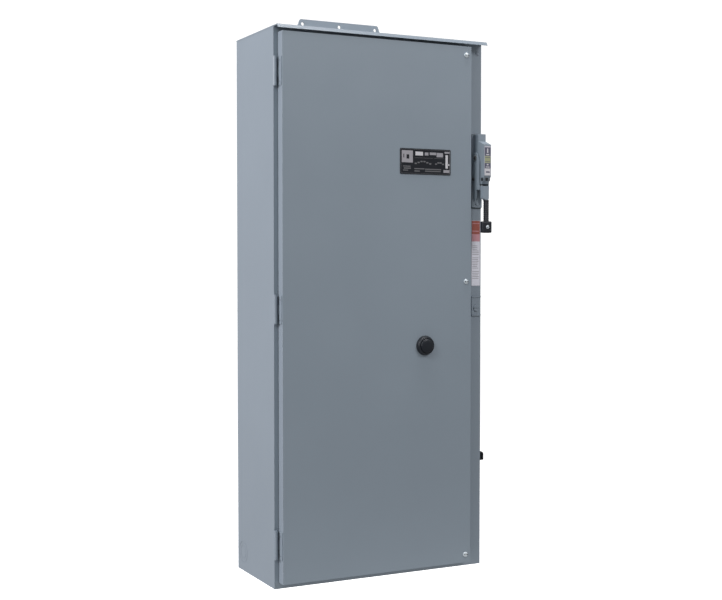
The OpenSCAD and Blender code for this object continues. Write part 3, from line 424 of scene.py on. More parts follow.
def finish_nodes():
    """Every CAD node takes the finish of its own material slot."""
    for entry in frame["record"]["subparts"]:
        data = nodes[entry["node"]].data
        data.materials.clear()
        data.materials.append(FINISHES[entry["material_slot"]])


def round_edges(name, width):
    """Rounds the sharp edges of a CAD node with a bevel as wide as width, in metres."""
    bevel = nodes[name].modifiers.new("edges", "BEVEL")
    bevel.width = width
    bevel.segments = 2
    bevel.limit_method = "ANGLE"
    bevel.angle_limit = math.radians(40)
    bevel.harden_normals = True


# ---- Things printed on plates and labels ----

def decals(name, finish, d, boxes, thick=0.12, body="cabinet"):
    """Thin printed areas, each (x0, x1, z0, z1), lying on the plane at depth d."""
    shape = Shape()
    for x0, x1, z0, z1 in boxes:
        shape.block((x0, x1), (d - 0.05, d + thick), (z0, z1))
    shape.done(name, finish, body)


def print_nameplate():
    x, z, front = 296.0, 969.0, DOOR_FRONT + 1.2

    def spot(x0, x1, down0, down1):
        return x + x0, x + x1 * 1.008, z - down1 * 1.06, z - down0 * 1.06

    def printed(name, finish, boxes, lift=0.0):
        decals("nameplate_" + name, finish, front + lift, boxes, body="door")

    printed("border", "print_dim",
            [spot(1.6, 128.4, 1.6, 2.1), spot(1.6, 128.4, 52.4, 52.9),
             spot(1.6, 2.1, 2.1, 52.4), spot(127.9, 128.4, 2.1, 52.4)])
    printed("square", "print_grey", [spot(4, 32, 4.6, 30)])
    printed("square_mark", "nameplate", [spot(16, 22.5, 13, 22), spot(8, 10, 12, 20)], 0.1)
    printed("bright", "print_light",
            [spot(39, 58, 6.4, 14.5), spot(117.5, 122.8, 11.5, 40), spot(122.5, 127, 31, 34)])
    printed("grey", "print_grey",
            [spot(63, 72, 7.5, 14), spot(76, 92, 7.0, 12.5), spot(94, 110, 7.5, 16.5),
             spot(115, 127.4, 4.5, 8), spot(112, 127.4, 43.5, 49.5)])
    rows = []
    for count, x0, pitch, length, down, bow in ((6, 37, 7.5, 5, 24.5, 2.2),
                                                (4, 90, 6, 4.5, 26, 2.6)):
        for i in range(count):
            drop = down + bow * abs(i - (count - 1) / 2)
            rows.append(spot(x0 + i * pitch, x0 + length + i * pitch, drop, drop + 3))
    rows += [spot(36, 62, 41.5, 43.8), spot(64, 105, 42.0, 44.3), spot(36, 50, 46.5, 48.8),
             spot(64, 104, 46.2, 48.4),
             spot(7, 26, 37, 39), spot(9, 27, 41, 43.5), spot(7, 20, 45.5, 47.5),
             spot(37, 84, 19.2, 19.8), spot(88, 112, 19.2, 19.8)]
    printed("rows", "print_dim", rows)


def print_indicator():
    x, front = HANDLE_X, HOUSING_FRONT
    decals("indicator_ground", "print_light", front,
           [(x - 7.6, x + 7.6, 912.5, 928)], 0.08)
    decals("indicator_dark", "print_dark", front,
           [(x - 7.8, x + 7.8, 957, 976.5), (x - 7.8, x + 7.8, 928.4, 940.6)])
    decals("indicator_yellow", "print_yellow", front,
           [(x - 7.8, x + 7.8, 941, 956.6)])
    decals("indicator_lines", "print_dark", front + 0.1,
           [(x - 6.5, x + 6.5, 943.4, 944.6), (x - 6.5, x + 6.5, 952.8, 954),
            (x - 4.5, x + 5.5, 918.5, 921.5)])
    decals("indicator_marks", "print_light", front + 0.1,
           [(x - 1.6, x + 1.6, 964, 974), (x - 4.2, x + 4.2, 959, 961),
            (x - 2.4, x + 2.4, 935.5, 938.5), (x - 5.0, x + 5.0, 930.5, 932.5)])


def print_safety_label():
    x0, x1, front = 500.2, 522.3, FLANGE_FRONT
    decals("safety_top", "print_orange", front, [(x0, x1, 778, 809)])
    decals("safety_second", "print_pink", front, [(x0, x1, 761, 778)])
    decals("safety_ground", "print_white", front, [(x0, x1, 657.8, 761)])
    chance = random.Random(4)
    rows = []
    for z in range(674, 752, 4):
        if z in (694, 726):
            continue
        rows.append((x0 + 1.6, x1 - 1.6 - 6 * chance.random(), z, z + 1.2))
    decals("safety_rows", "print_grey", front + 0.1, rows, 0.05)
    decals("safety_panel", "print_pink", front + 0.1,
           [(x0 + 2, x1 - 2, 784, 786), (x0 + 2, x1 - 2, 802, 803.5)], 0.05)


# ---- Door furniture ----

def slotted_head(name, body, center, radius, height, finish, sink=0.0, turn=0.0,
                 axis=FORWARD, shank=2.0):
    """Domed screw head; a thin dark block laid across the dome paints the shade of its straight
    slot.
    """
    shape = Shape()
    dome = [(radius * math.cos(a), height * (0.3 + 0.7 * math.sin(a)))
            for a in [math.pi / 2 * i / 7 for i in range(7)]]
    shape.lathe(center, axis, [(0, -sink), (shank, -sink), (shank, 0.05), (radius, 0.05)] + dome
                + [(0, height)], 48)
    head = shape.done(name, finish, body)
    # Painted shade: a thin near-black block on top of the dome in place of the slot's shaded recess
    groove = Shape()
    groove.block((-radius, radius), (-0.45 * radius / 4, 0.45 * radius / 4), (0, 0.2), 0.02)
    bmesh.ops.translate(groove.mesh, verts=groove.mesh.verts, vec=-place(0, 0, 0))
    facing = Vector(axis).to_track_quat("Z", "Y").to_matrix().to_4x4()
    spot = Matrix.Translation(place(*center) + Vector(axis) * (height * 0.93) * MM)
    squash = Matrix.Diagonal((0.88, 1.0, 1.0, 1.0))
    bmesh.ops.transform(groove.mesh, verts=groove.mesh.verts,
                        matrix=spot @ facing @ Matrix.Rotation(turn, 4, "Z") @ squash)
    groove.done(name + "_slot", "hole", body)
    return head


def build_button():
    center = (361.0, DOOR_FRONT, 523.0)
    bezel = Shape().lathe(center, FORWARD, [
        (16.4, 1.6), (16.4, 8.8), (16.8, 9.6), (17.4, 9.9), (18.3, 9.7), (19.5, 8.6),
        (20.6, 6.9), (21.5, 4.9), (22.0, 2.8), (22.0, 0.5), (21.6, 0.0),
        (15.0, 0.0), (15.0, -41.5), (7.0, -41.5), (7.0, 1.6), (16.4, 1.6)], 72)
    bmesh.ops.remove_doubles(bezel.mesh, verts=bezel.mesh.verts, dist=1e-6)
    ring = bezel.done("button_bezel_turned", "black_plastic", "door", slot=True)
    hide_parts("button_bezel")
    cap = Shape().lathe(center, FORWARD, [
        (0, -42.0), (6.0, -42.0), (6.0, 6.9), (15.6, 6.9), (16.0, 7.3), (16.0, 10.4),
        (15.6, 11.6), (14.6, 12.6), (12.8, 13.4), (10.0, 13.8), (6.0, 14.0), (0, 14.1)], 72)
    face = cap.done("button_cap_turned", "gloss_black", "push_button", slot=True)
    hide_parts("button_cap")
    Shape().lathe(center, FORWARD, [
        (21.8, 0.0), (22.5, 0.0), (22.5, 0.6), (22.2, 0.9), (21.9, 0.9)], 72).done(
        "button_washer", "gasket", "door")


def build_door_screws():
    for name, z in (("top", 1188.0), ("middle", 667.5), ("bottom", 32.5)):
        head = slotted_head("door_screw_%s_head" % name, "screw_" + name, (469.6, DOOR_FRONT, z),
                            6.0, 3.6, "bright_screw", sink=27.0, shank=3.4)
        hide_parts("door_screw_" + name)


def build_handle():
    x, d, knob_z = HANDLE_X, 266.5, 793.5
    grip_levels = [(x, d, 807.0, 4.9, 5.6), (x, d, 807.6, 5.3, 6.0)]
    for ridge in range(9):
        low = 810.0 + ridge * 4.9
        grip_levels += [(x, d, low, 5.3, 6.0), (x, d, low + 0.5, 4.9, 5.6),
                        (x, d, low + 1.4, 4.9, 5.6), (x, d, low + 1.9, 5.3, 6.0)]
    grip_levels += [(x, d, 855.0, 5.3, 6.0), (x, d, 855.7, 5.0, 5.7), (x, d, 856.0, 4.4, 5.1)]
    grip = Shape().loft(grip_levels, 3.4).done("handle_grip_ribbed", "grip_vinyl", "handle",
                                               sharp=50, slot=True)
    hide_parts("handle_grip")
    knob_levels = []
    for step in range(13):
        angle = math.pi * step / 12
        z = knob_z - 13.5 * math.cos(angle)
        swell = min(1.0, math.sin(angle) * 1.9 + 0.02) ** 0.5
        knob_levels.append((x, d, z, 12.5 * (0.66 + 0.34 * swell), 7.0 * (0.42 + 0.58 * swell)))
    knob = Shape().loft([(x, d, 780.0, 6.0, 2.4)] + knob_levels[1:-1]
                        + [(x, d, 807.0, 6.0, 2.4)], 5.0, 40)
    ball = knob.done("handle_knob_moulded", "black_plastic", "handle", sharp=60, slot=True)
    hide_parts("handle_knob")
    screw = slotted_head("handle_knob_screw", "handle", (x, 273.4, knob_z), 4.2, 2.3,
                         "bright_screw", sink=6.0, turn=0.5)
    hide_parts("knob_screw")
    for side, way, face, cheek, wall in (("left", (-1, 0, 0), 496.4, 498.0, 502.0),
                                         ("right", (1, 0, 0), 526.6, 525.0, 521.0)):
        Shape().lathe((face, 240, PIVOT_Z), way, [
            (0, -0.4), (3.6, -0.4), (3.6, 1.0), (3.2, 1.5), (2.2, 1.6), (2.0, 0.5), (0, 0.5)],
            32).done("handle_pivot_bolt_" + side, "black_steel", "handle")
        Shape().lathe((cheek, 233, 905), way, [
            (0, -0.4), (4.0, -0.4), (4.0, 0.3), (3.3, 1.5), (1.9, 1.9), (1.7, 0.8), (0, 0.8)],
            32).done("handle_yoke_bolt_" + side, "black_steel", "handle")
        # Painted shade: thin near-black discs where the padlock holes are, standing in for the
        # shade inside them
        Shape().lathe((wall, 263.5, 903.5), way, [
            (0, -0.5), (4.4, -0.5), (4.4, 0.06), (0, 0.06)], 32).done(
            "padlock_hole_" + side, "hole")
    # Painted shade: a flat near-black block where the padlock slot is, standing in for the shade
    # inside it
    Shape().block((508.4, 514.6), (268.4, 269.9), (899.6, 907.0), 0.3).done(
        "padlock_slot", "hole")


def build_hinges():
    for tag, z in (("top", 1123.0), ("middle", 610.0), ("bottom", 97.0)):
        for index, dz in enumerate((-22.0, 22.0)):
            slotted_head("hinge_screw_%s_%d" % (tag, index), "door", (8.4, 238.0, z + dz),
                         2.6, 0.9, "cabinet_paint", axis=(-1, 0, 0), turn=0.4 + index)
        for upper, end in ((0, -31.5), (1, 32.4)):
            Shape().lathe((1.0, 227.0, z + end), (0, 0, 2 * upper - 1), [
                (0, -0.2), (2.4, -0.2), (2.4, 0.25), (1.6, 0.6), (0, 0.75)], 24).done(
                "hinge_pin_end_%s_%d" % (tag, upper), "cabinet_paint")


def weld_bead(name, points, radius=1.6):
    """Rippled bead of weld metal, painted over."""
    curve = flow(points, 10)
    length = sum((b - a).length for a, b in zip(curve, curve[1:]))
    count = max(6, int(length / (1.1 * MM)))
    spots = []
    for step in range(count + 1):
        along = step / count * (len(curve) - 1)
        i = min(int(along), len(curve) - 2)
        spots.append(curve[i].lerp(curve[i + 1], along - i))
    shape = Shape()
    ahead = (spots[1] - spots[0]).normalized()
    up = ahead.orthogonal().normalized()
    side = ahead.cross(up)
    rings = []
    for i, spot in enumerate(spots):
        swell = radius * (1.0 + 0.12 * math.sin(i * 2.1)) * MM
        if i in (0, count):
            swell *= 0.5
        rings.append([shape.mesh.verts.new(
            spot + (up * math.cos(math.tau * k / 10) + side * math.sin(math.tau * k / 10)) * swell)
            for k in range(10)])
    shape.join(rings)
    shape.done(name, "weld", sharp=80)


def build_welds():
    for tag, z0, z1 in (("upper", 1177, 1218), ("lower", 2, 43)):
        for index, x in enumerate((153.5, 371.5)):
            weld_bead("bracket_weld_%s_%d" % (tag, index),
                      [(x, 2.6, z0 + 4), (x, 2.6, (z0 + z1) / 2), (x, 2.6, z1 - 4)])
    for tag, x in (("left", 0.4), ("right", 524.6)):
        for index, z in enumerate((60, 330, 610, 890, 1160)):
            weld_bead("back_seam_weld_%s_%d" % (tag, index),
                      [(x, 4.4, z - 14), (x, 4.4, z), (x, 4.4, z + 14)], 0.9)
    for index, x in enumerate((40, 150, 262, 374, 485)):
        weld_bead("hood_weld_%d" % index,
                  [(x - 12, 221.6, 1219.4), (x, 221.6, 1219.4), (x + 12, 221.6, 1219.4)], 1.2)
    spots = [(x, z) for x in (70, 455) for z in (110, 310, 510, 710, 910, 1110)]
    for index, (x, z) in enumerate(spots):
        Shape().lathe((x, 3.0, z), (0, 1, 0), [
            (0, -0.3), (4.6, -0.3), (4.6, 0.0), (4.0, 0.22), (3.0, 0.08), (0, 0.0)], 28).done(
            "spot_weld_%02d" % index, "weld", sharp=80)


# ---- Inside: the power gear ----

def poles(middle, pitch=POLE):
    return [middle - pitch, middle, middle + pitch]


LOAD_POLES = poles(LOAD_X, LOAD_PITCH)


def socket_screw(shape, x, d, z, radius=3.9, height=1.6):
    """Round head with a round recess, added to a shape."""
    shape.lathe((x, d, z), FORWARD, [(0, -1), (radius, -1), (radius, height - 0.4),
                                     (radius - 0.4, height), (radius * 0.55, height),
                                     (radius * 0.55, height * 0.1), (0, height * 0.1)], 24)


def build_power_cables():
    """Rubber-covered cables that end stripped inside their lugs."""
    for name, middle, top in (("normal", NORMAL, 864.0), ("emergency", EMERGENCY, 1008.0)):
        jackets, strands = Shape(), Shape()
        for x in poles(middle):
            jackets.sweep([place(x, LUG_D, z) for z in (751.5, 0.5 * (751.5 + top), top - 19)],
                          6.45, 28)
            strands.sweep([place(x, LUG_D, 733), place(x, LUG_D, top)], 5.2, 18)
        jacket = jackets.done("power_cables_" + name, "cable_black", slot=True)
        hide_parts("power_cables")
        strands.done("power_strands_" + name, "copper")
    jackets, strands = Shape(), Shape()
    for x, z in zip(LOAD_POLES, LOAD_BAR_Z):
        jackets.sweep(flow([(x, LOAD_D, z - 12.5), (x, LOAD_D, 420), (x, LOAD_D, 330),
                            (x, 97, 270), (x, 93, 232), (x, 85.5, 204), (x, 81.7, 186),
                            (x, LUG_D, 169)]), 6.45, 28)
        strands.sweep([place(x, LOAD_D, z - 14), place(x, LOAD_D, z + 6)], 5.2, 18)
        strands.sweep([place(x, LUG_D, 151), place(x, LUG_D, 170)], 5.2, 18)
    jackets.done("power_cables_load", "cable_black", slot=True)
    strands.done("power_strands_load", "copper")
    ties = Shape()
    for z in (300.0, 400.0):
        for x, d in (((206, 284), (90.2, 91.2)), ((206, 284), (104.0, 105.0)),
                     ((205, 206.5), (90.2, 105)), ((283.5, 285), (90.2, 105))):
            ties.block(x, d, (z - 2, z + 2), 0.3)
        ties.block((284, 291), (95, 101), (z - 3, z + 3), 0.6)
    ties.done("power_cable_ties", "print_white")


def build_lug_screws():
    shape = Shape()
    spots = [(x, LUG_SCREW_D, z) for x in poles(NORMAL) for z in (857.0, 1023.0)]
    spots += [(x, LUG_SCREW_D, 739.0) for x in poles(NORMAL) + poles(EMERGENCY)]
    spots += [(x, LUG_SCREW_D, 1001.0) for x in poles(EMERGENCY)]
    spots += [(x, LUG_SCREW_D, 157.0) for x in LOAD_POLES]
    spots += [(x, 107.5, z) for x, z in zip(LOAD_POLES, LOAD_BAR_Z)]
    for x, d, z in spots:
        socket_screw(shape, x, d, z)
    shape.done("lug_screws", "zinc", slot=True)
    bolts = Shape()
    for x in poles(NORMAL) + poles(EMERGENCY):
        bolts.lathe((x, 79.0, 580.0), FORWARD, [
            (0, 0), (6.0, 0), (6.0, 3.4), (5.2, 4.0), (0, 4.0)], 6)
    bolts.done("terminal_bolts", "zinc", slot=True)


def build_operating_cables():
    """Sheathed pull cables: smooth jackets in place of the frame's simpler solids."""
    jackets, ends = Shape(), Shape()
    for sign in (1, -1):
        z = PIVOT_Z + sign * 10
        heights = ((968, 995, 1055, 1098, 1108, 1092, 1070, 1046) if sign > 0
                   else (940, 912, 845, 790, 776, 790, 812, 834))
        route = [(HANDLE_X, 227, z), (HANDLE_X, 200, z)]
        route += [(x, d, level) for (x, d), level in zip((
            (505, 170), (480, 145), (445, 124), (410, 113), (375, PULL_D), (356, PULL_D),
            (PULL_X, PULL_D), (PULL_X, PULL_D)), heights)]
        jackets.sweep(flow(route, 8), 3.1, 20)
        ferrule = heights[-1] - sign
        for step, (reach, radius) in enumerate(((5, 5.4), (11, 4.7))):
            ends.lathe((PULL_X, PULL_D, ferrule - sign * 0.5 * step), (0, 0, sign), [
                (3.2, 0), (radius, 0), (radius, reach), (radius - 0.5, reach + 0.4),
                (3.2, reach + 0.4)], 6 if step == 0 else 32)
    jacket = jackets.done("operating_cable_jackets", "cable_black", slot=True)
    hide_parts("operating_cables")
    ends.done("operating_cable_nuts", "zinc", slot=True)


def build_breaker():
    x = NORMAL
    seams = Shape()
    for offset in (-POLE / 2, POLE / 2):
        for z0, z1 in ((875, 922), (958, 1005)):
            seams.block((x + offset - 0.7, x + offset + 0.7), (100.0, 101.2), (z0, z1), 0.3)
    for z in ((876, 877.4), (1002.6, 1004)):
        seams.block((x - 47, x + 47), (99.8, 100.7), z, 0.3)
    seams.done("breaker_ribs", "black_plastic", slot=True)
    surround = Shape()
    for x0, x1, z0, z1 in ((-20, 20, 957, 961), (-20, 20, 919, 923), (-20, -16.5, 923, 957),
                           (16.5, 20, 923, 957)):
        surround.block((x + x0, x + x1), (99.5, 102.4), (z0, z1), 0.5)
    surround.done("breaker_toggle_surround", "black_plastic")
    decals("breaker_plate", "print_light", BREAKER_FRONT,
           [(x + 23, x + 41, 880, 916), (x - 41, x - 23, 880, 916)], 0.2)
    decals("breaker_plate_rows", "print_dark", BREAKER_FRONT + 0.2,
           [(x + side * 32 - 7, x + side * 32 + 7 - (i % 3) * 2.5, 884 + i * 4.4, 885.6 + i * 4.4)
            for side in (-1, 1) for i in range(7)], 0.1)
    decals("breaker_rating", "wire_red", BREAKER_FRONT, [(x - 41, x - 34, 966, 996)], 0.2)
    shape = Shape()
    for dx in (-46.0, 46.0):
        for z in (846.0, 1034.0):
            socket_screw(shape, x + dx, 92.0, z, 2.9, 1.2)
    shape.done("breaker_case_screws", "zinc", slot=True)
    guard = Shape()
    for span in ((x - 43.5, x - 14), (x + 14, x + 43.5)):
        guard.block(span, (111.0, 111.5), (917, 943), 0.2)
    guard.done("operator_slide_stripes", "print_dark", "slide")


def build_contactors():
    for tag, middle in (("normal", NORMAL), ("emergency", EMERGENCY)):
        ribs = Shape()
        for x in poles(middle):
            for count, z0 in ((7, 609.0), (5, 675.0)):
                for i in range(count):
                    z = z0 + i * 7.4
                    ribs.block((x - 12.5, x + 12.5), (119.6, COVER_FRONT), (z, z + 3.0), 0.5)
        for dx in (-POLE / 2, POLE / 2):
            ribs.block((middle + dx - 1.0, middle + dx + 1.0), (119.6, 121.0), (604, 716), 0.4)
        ribs.done("arc_cover_ribs_" + tag, "grey_plastic", slot=True)
        screws = Shape()
        for dx in (-POLE * 1.5 + 1.5, POLE * 1.5 - 1.5):
            for z in (608.0, 712.0):
                socket_screw(screws, middle + dx, 120.0, z, 2.6, 1.0)
        for dx in (-53.0, 53.0):
            for z in (572.0, 748.0):
                socket_screw(screws, middle + dx, 70.0, z, 3.2, 1.4)
        screws.done("contactor_screws_" + tag, "zinc", slot=True)
        decals("contactor_plate_" + tag, "print_light", COVER_FRONT,
               [(middle - 40, middle + 40, 662.5, 672.5)], 0.25)
        decals("contactor_plate_bar_" + tag,
               "wire_blue" if tag == "normal" else "wire_red", COVER_FRONT + 0.25,
               [(middle - 38, middle - 26, 664, 671)], 0.1)
        decals("contactor_plate_rows_" + tag, "print_dark", COVER_FRONT + 0.25,
               [(middle - 22, middle + 36, 669, 670), (middle - 22, middle + 20, 665, 666)], 0.1)
        Shape().block((middle - 40, middle + 40), (119.9, COVER_FRONT), (661.5, 673.5), 0.4).done(
            "contactor_plate_ground_" + tag, "grey_plastic")


# ---- Inside: controls and wiring ----

def build_controller():
    x0, x1, z0, z1 = 48.0, 198.0, 300.0, 450.0
    Shape().block((x0 + 8, x1 - 8), (61.4, CONTROLLER_FRONT), (324, 426), 0.5).done(
        "controller_face", "print_dark")
    frame_bars = Shape()
    for a, b, c, e in ((16, 84, 392, 394), (16, 84, 418, 420), (16, 18, 394, 418),
                       (82, 84, 394, 418)):
        frame_bars.block((x0 + a, x0 + b), (62.2, 64.0), (c, e), 0.4)
    frame_bars.done("controller_window_frame", "black_plastic")
    Shape().block((x0 + 18, x0 + 82), (62.2, 63.0), (394, 418), 0.2).done(
        "controller_window", "display")
    decals("controller_readout", "lamp_green", 63.0,
           [(x0 + 22 + i * 6.5, x0 + 26.5 + i * 6.5, 408, 414) for i in range(8) if i != 4]
           + [(x0 + 22 + i * 6.5, x0 + 26.5 + i * 6.5, 398, 404) for i in range(6)], 0.08)
    keys = Shape()
    for i in range(4):
        for j in range(2):
            keys.block((x0 + 18 + i * 17, x0 + 30 + i * 17), (62.3, 64.2),
                       (366 - j * 16, 376 - j * 16), 1.0)
    keys.done("controller_keys", "grey_plastic", slot=True)
    dome = [(3.0 * math.cos(a), 1.2 + 2.2 * math.sin(a))
            for a in [math.pi / 2 * i / 5 for i in range(5)]]
    for index, colour in enumerate(("lamp_green", "lamp_green", "lamp_red", "wire_yellow",
                                    "lamp_red")):
        Shape().lathe((x0 + 98, 62.4, 414 - index * 12), FORWARD,
                      [(0, 0), (3.8, 0), (3.8, 0.9), (3.2, 1.1)] + dome + [(0, 3.4)],
                      24).done("controller_lamp_%d" % index, colour)
    decals("controller_lamp_rows", "print_grey", CONTROLLER_FRONT,
           [(x0 + 106, x0 + 126 - (i % 2) * 6, 413.4 - i * 12, 414.8 - i * 12) for i in range(5)],
           0.1)
    for index in range(3):
        x = x0 + 30 + index * 32
        Shape().lathe((x, 62.4, 338), FORWARD, [
            (0, 0), (6.4, 0), (6.4, 1.0), (5.6, 1.4), (5.2, 5.0), (4.6, 5.6), (0, 5.6)],
            18).done("controller_dial_%d" % index, "black_plastic")
        decals("controller_dial_mark_%d" % index, "print_white", 68.0,
               [(x - 0.5, x + 0.5, 338, 342.6)], 0.1)
        ticks = []
        for step in range(7):
            angle = math.radians(-120 + 40 * step)
            tx, tz = x + 8.6 * math.sin(angle), 338 + 8.6 * math.cos(angle)
            ticks.append((tx - 0.5, tx + 0.5, tz - 0.5, tz + 0.5))
        decals("controller_dial_ticks_%d" % index, "print_white", CONTROLLER_FRONT, ticks, 0.1)
    screws = Shape()
    for x in (x0 + 3.5, x1 - 3.5):
        for z in (z0 + 4, z1 - 4):
            socket_screw(screws, x, 56.0, z, 2.4, 1.0)
    for z in (307.5, 443.5):
        for i in range(12):
            screws.lathe((x0 + 15 + i * 11, 52.0, z), FORWARD,
                         [(0, -1), (2.5, -1), (2.5, 0.3), (0, 0.3)], 16)
    screws.done("controller_screws", "zinc", slot=True)


def build_terminal_strip():
    slots, markers, screws = Shape(), Shape(), Shape()
    for i in range(16):
        x = 54.3 + i * 9
        for z in (212.0, 248.0):
            screws.lathe((x, 56.0, z), FORWARD, [(0, -2), (3.0, -2), (3.0, 0.4), (0, 0.4)], 18)
            slots.block((x - 2.6, x + 2.6), (56.2, 56.6), (z - 0.35, z + 0.35))
        markers.block((x - 3.2, x + 3.2), (55.6, 56.9), (226, 234), 0.3)
    screws.done("strip_screws", "zinc", slot=True)
    # Painted shade: flat near-black strips on the screw heads stand in for the shade in their slots
    slots.done("strip_screw_slots", "hole")
    markers.done("strip_markers", "print_white")
    seams = Shape()
    for i in range(17):
        x = 49.9 + i * 9
        seams.block((x - 0.35, x + 0.35), (54.0, 56.4), (205.3, 254.7))
    seams.done("strip_seams", "print_dark")
    clamps = Shape()
    for x in ((45.5, 50.5), (194.5, 199.5)):
        clamps.block(x, (24.0, 50.0), (210.0, 250.0), 0.8)
    clamps.done("strip_end_clamps", "black_plastic")


def build_transformer():
    core = Shape()
    for i in range(28):
        d = 24.4 + i * 2.1
        core.block((317.6, 398.4), (d, d + 1.75), (344.6, 445.4), 0.15)
    core.done("transformer_laminations", "laminations")
    Shape().block((325.0, 391.0), (83.5, 95.5), (361.0, 429.0), 4.0, 3).done(
        "transformer_winding", "winding")
    Shape().block((324.4, 391.6), (83.5, 96.2), (388.0, 402.0), 4.2, 3).done(
        "transformer_tape", "print_white")
    bolts = Shape()
    for x in (323.5, 392.5):
        for z in (351.0, 439.0):
            bolts.lathe((x, 84.0, z), FORWARD, [(0, -1), (5.6, -1), (5.6, 0.4), (0, 0.4)], 28)
            bolts.lathe((x, 84.4, z), FORWARD, [(0, 0), (4.6, 0), (4.6, 2.6), (4.0, 3.2),
                                               (0, 3.2)], 6)
    for x in (313.0, 403.0):
        for z in (352.0, 438.0):
            bolts.lathe((x, 21.0, z), FORWARD, [(0, -1), (4.4, -1), (4.4, 2.0), (3.4, 3.0),
                                               (0, 3.2)], 24)
    bolts.done("transformer_bolts", "zinc", slot=True)
    Shape().block((330, 386), (84.0, 92.0), (431.0, 443.0), 0.8).done(
        "transformer_terminals", "ivory_plastic")
    tips = Shape()
    for i in range(5):
        tips.lathe((336 + i * 11, 92.0, 437.0), FORWARD,
                   [(0, -1), (3.4, -1), (3.4, 1.2), (2.8, 1.8), (0, 1.8)], 20)
    tips.done("transformer_terminal_screws", "zinc", slot=True)


def build_fuses():
    bodies, caps, clips = Shape(), Shape(), Shape()
    for x in (326.0, 358.0, 390.0):
        bodies.lathe((x, 46, 289), (0, 0, 1), [
            (0, -20), (7.3, -20), (7.5, -19), (7.5, 19), (7.3, 20), (0, 20)], 36)
        for sign in (-1, 1):
            caps.lathe((x, 46, 289 + sign * 13.5), (0, 0, sign), [
                (7.4, 0), (8.0, 0.3), (8.0, 7.0), (7.2, 7.6), (0, 7.8)], 36)
            for side in (-1, 1):
                clips.block((x + side * 8.6 - 0.7, x + side * 8.6 + 0.7), (33.6, 54.5),
                            (289 + sign * 26 - 4.4, 289 + sign * 26 + 4.4), 0.4)
            clips.lathe((x, 53.0, 289 + sign * 26), FORWARD, [
                (0, -1), (4.2, -1), (4.2, 1.2), (3.4, 2.2), (0, 2.2)], 24)
    bodies.done("fuse_bodies", "ceramic")
    caps.done("fuse_caps", "copper", slot=True)
    clips.done("fuse_clips", "zinc", slot=True)
    walls = Shape()
    for x in (310.8, 342.0, 374.0, 405.2):
        walls.block((x - 0.9, x + 0.9), (33.6, 50.0), (254, 324), 0.4)
    walls.done("fuse_walls", "black_plastic", slot=True)


def build_bars():
    # Painted shade: flat near-black strips stand in for the shade in the bar screws' slots
    slots = Shape()
    for z in (120.0, 200.0):
        for i in range(7):
            slots.block((331 + i * 14 - 3.0, 331 + i * 14 + 3.0), (49.6, 50.12),
                        (z + 6.5, z + 7.5))
    slots.done("bar_screw_slots", "hole")


def bundle(name, points, colours, body="cabinet", radius=1.5, twist=0.018):
    """Wires laid together along one route; each keeps its own colour."""
    curve = flow(points, 8)
    spread = 0.0
    if len(colours) > 1:
        spread = radius * (1.08 / math.sin(math.pi / max(3, len(colours))) * 0.9)
    wires = []
    for index, colour in enumerate(colours):
        wire = []
        for i, spot in enumerate(curve):
            ahead = (curve[min(i + 1, len(curve) - 1)] - curve[max(i - 1, 0)]).normalized()
            across = ahead.cross(Vector((0.31, 0.87, 0.38))).normalized()
            over = ahead.cross(across)
            angle = math.tau * index / len(colours) + twist * i
            wire.append(spot + (across * math.cos(angle) + over * math.sin(angle)) * spread * MM)
        wires.append(Shape().sweep(wire, radius, 10).done("%s_%d" % (name, index), colour, body))
    return wires


def tie(name, center, ahead, radius):
    """Nylon tie round a bundle, with its square buckle."""
    shape = Shape()
    shape.lathe(center, ahead, [(radius, -1.2), (radius + 0.9, -1.2), (radius + 0.9, 1.2),
                                (radius, 1.2), (radius, -1.2)], 28)
    bmesh.ops.remove_doubles(shape.mesh, verts=shape.mesh.verts, dist=1e-7)
    x, d, z = center
    shape.block((x - 2, x + 2), (d + radius, d + radius + 3.4), (z - 2, z + 2), 0.4)
    shape.done(name, "print_white")


RED, BLUE, PALE, YELLOW = "wire_red", "wire_blue", "wire_white", "wire_yellow"


def build_wiring():
    trunk = [(60, 48, 446), (48, 52, 462), (37, 38, 500), (37, 40, 560), (37, 40, 780),
             (37, 40, 940)]
    bundle("trunk_wires", trunk, (RED, BLUE, PALE, YELLOW, RED, PALE))
    for index, z in enumerate((540, 660, 780, 900)):
        tie("trunk_tie_%d" % index, (37, 40, z), (0, 0, 1), 4.4)
    bundle("trunk_end_wires",
           [(37, 40, 938), (37, 40, 955), (45, 42, 985), (62, 60, 998), (84, 88, 1000)],
           (RED, PALE, BLUE))
    bundle("strip_wires",
           [(62, 48, 304), (62, 58, 292), (66, 58, 276), (72, 50, 262), (72, 44, 252)],
           (RED, YELLOW, BLUE, PALE))
    bundle("strip_wires_b",
           [(160, 48, 304), (162, 60, 290), (166, 60, 272), (164, 52, 260), (162, 44, 252)],
           (RED, PALE, BLUE))
    bundle("transformer_wires",
           [(346, 92, 440), (340, 99, 452), (300, 70, 462), (240, 36, 466), (200, 34, 460),
            (176, 46, 448)], (YELLOW, BLUE, RED))
    bundle("fuse_wires",
           [(326, 50, 318), (318, 60, 332), (296, 44, 338), (292, 34, 380), (294, 40, 430),
            (312, 80, 455), (336, 92, 442)], (RED, PALE))
    for index, x in enumerate((338, 352, 366)):
        bundle("neutral_wire_%d" % index,
               [(x - 7 + index, 41, 213), (x - 10, 44, 231), (300 - 4 * index, 46, 241),
                (236, 34, 262 + 3 * index), (198, 34, 262 + 3 * index),
                (150 + 9 * index, 46, 256)], (PALE,), radius=1.6)
    bundle("earth_wire",
           [(331, 41, 133), (331, 44, 152), (318, 34, 170), (304, 26, 170), (296, 24, 150),
            (294, 24, 120), (300, 24, 96)], ("wire_green",), radius=2.2)


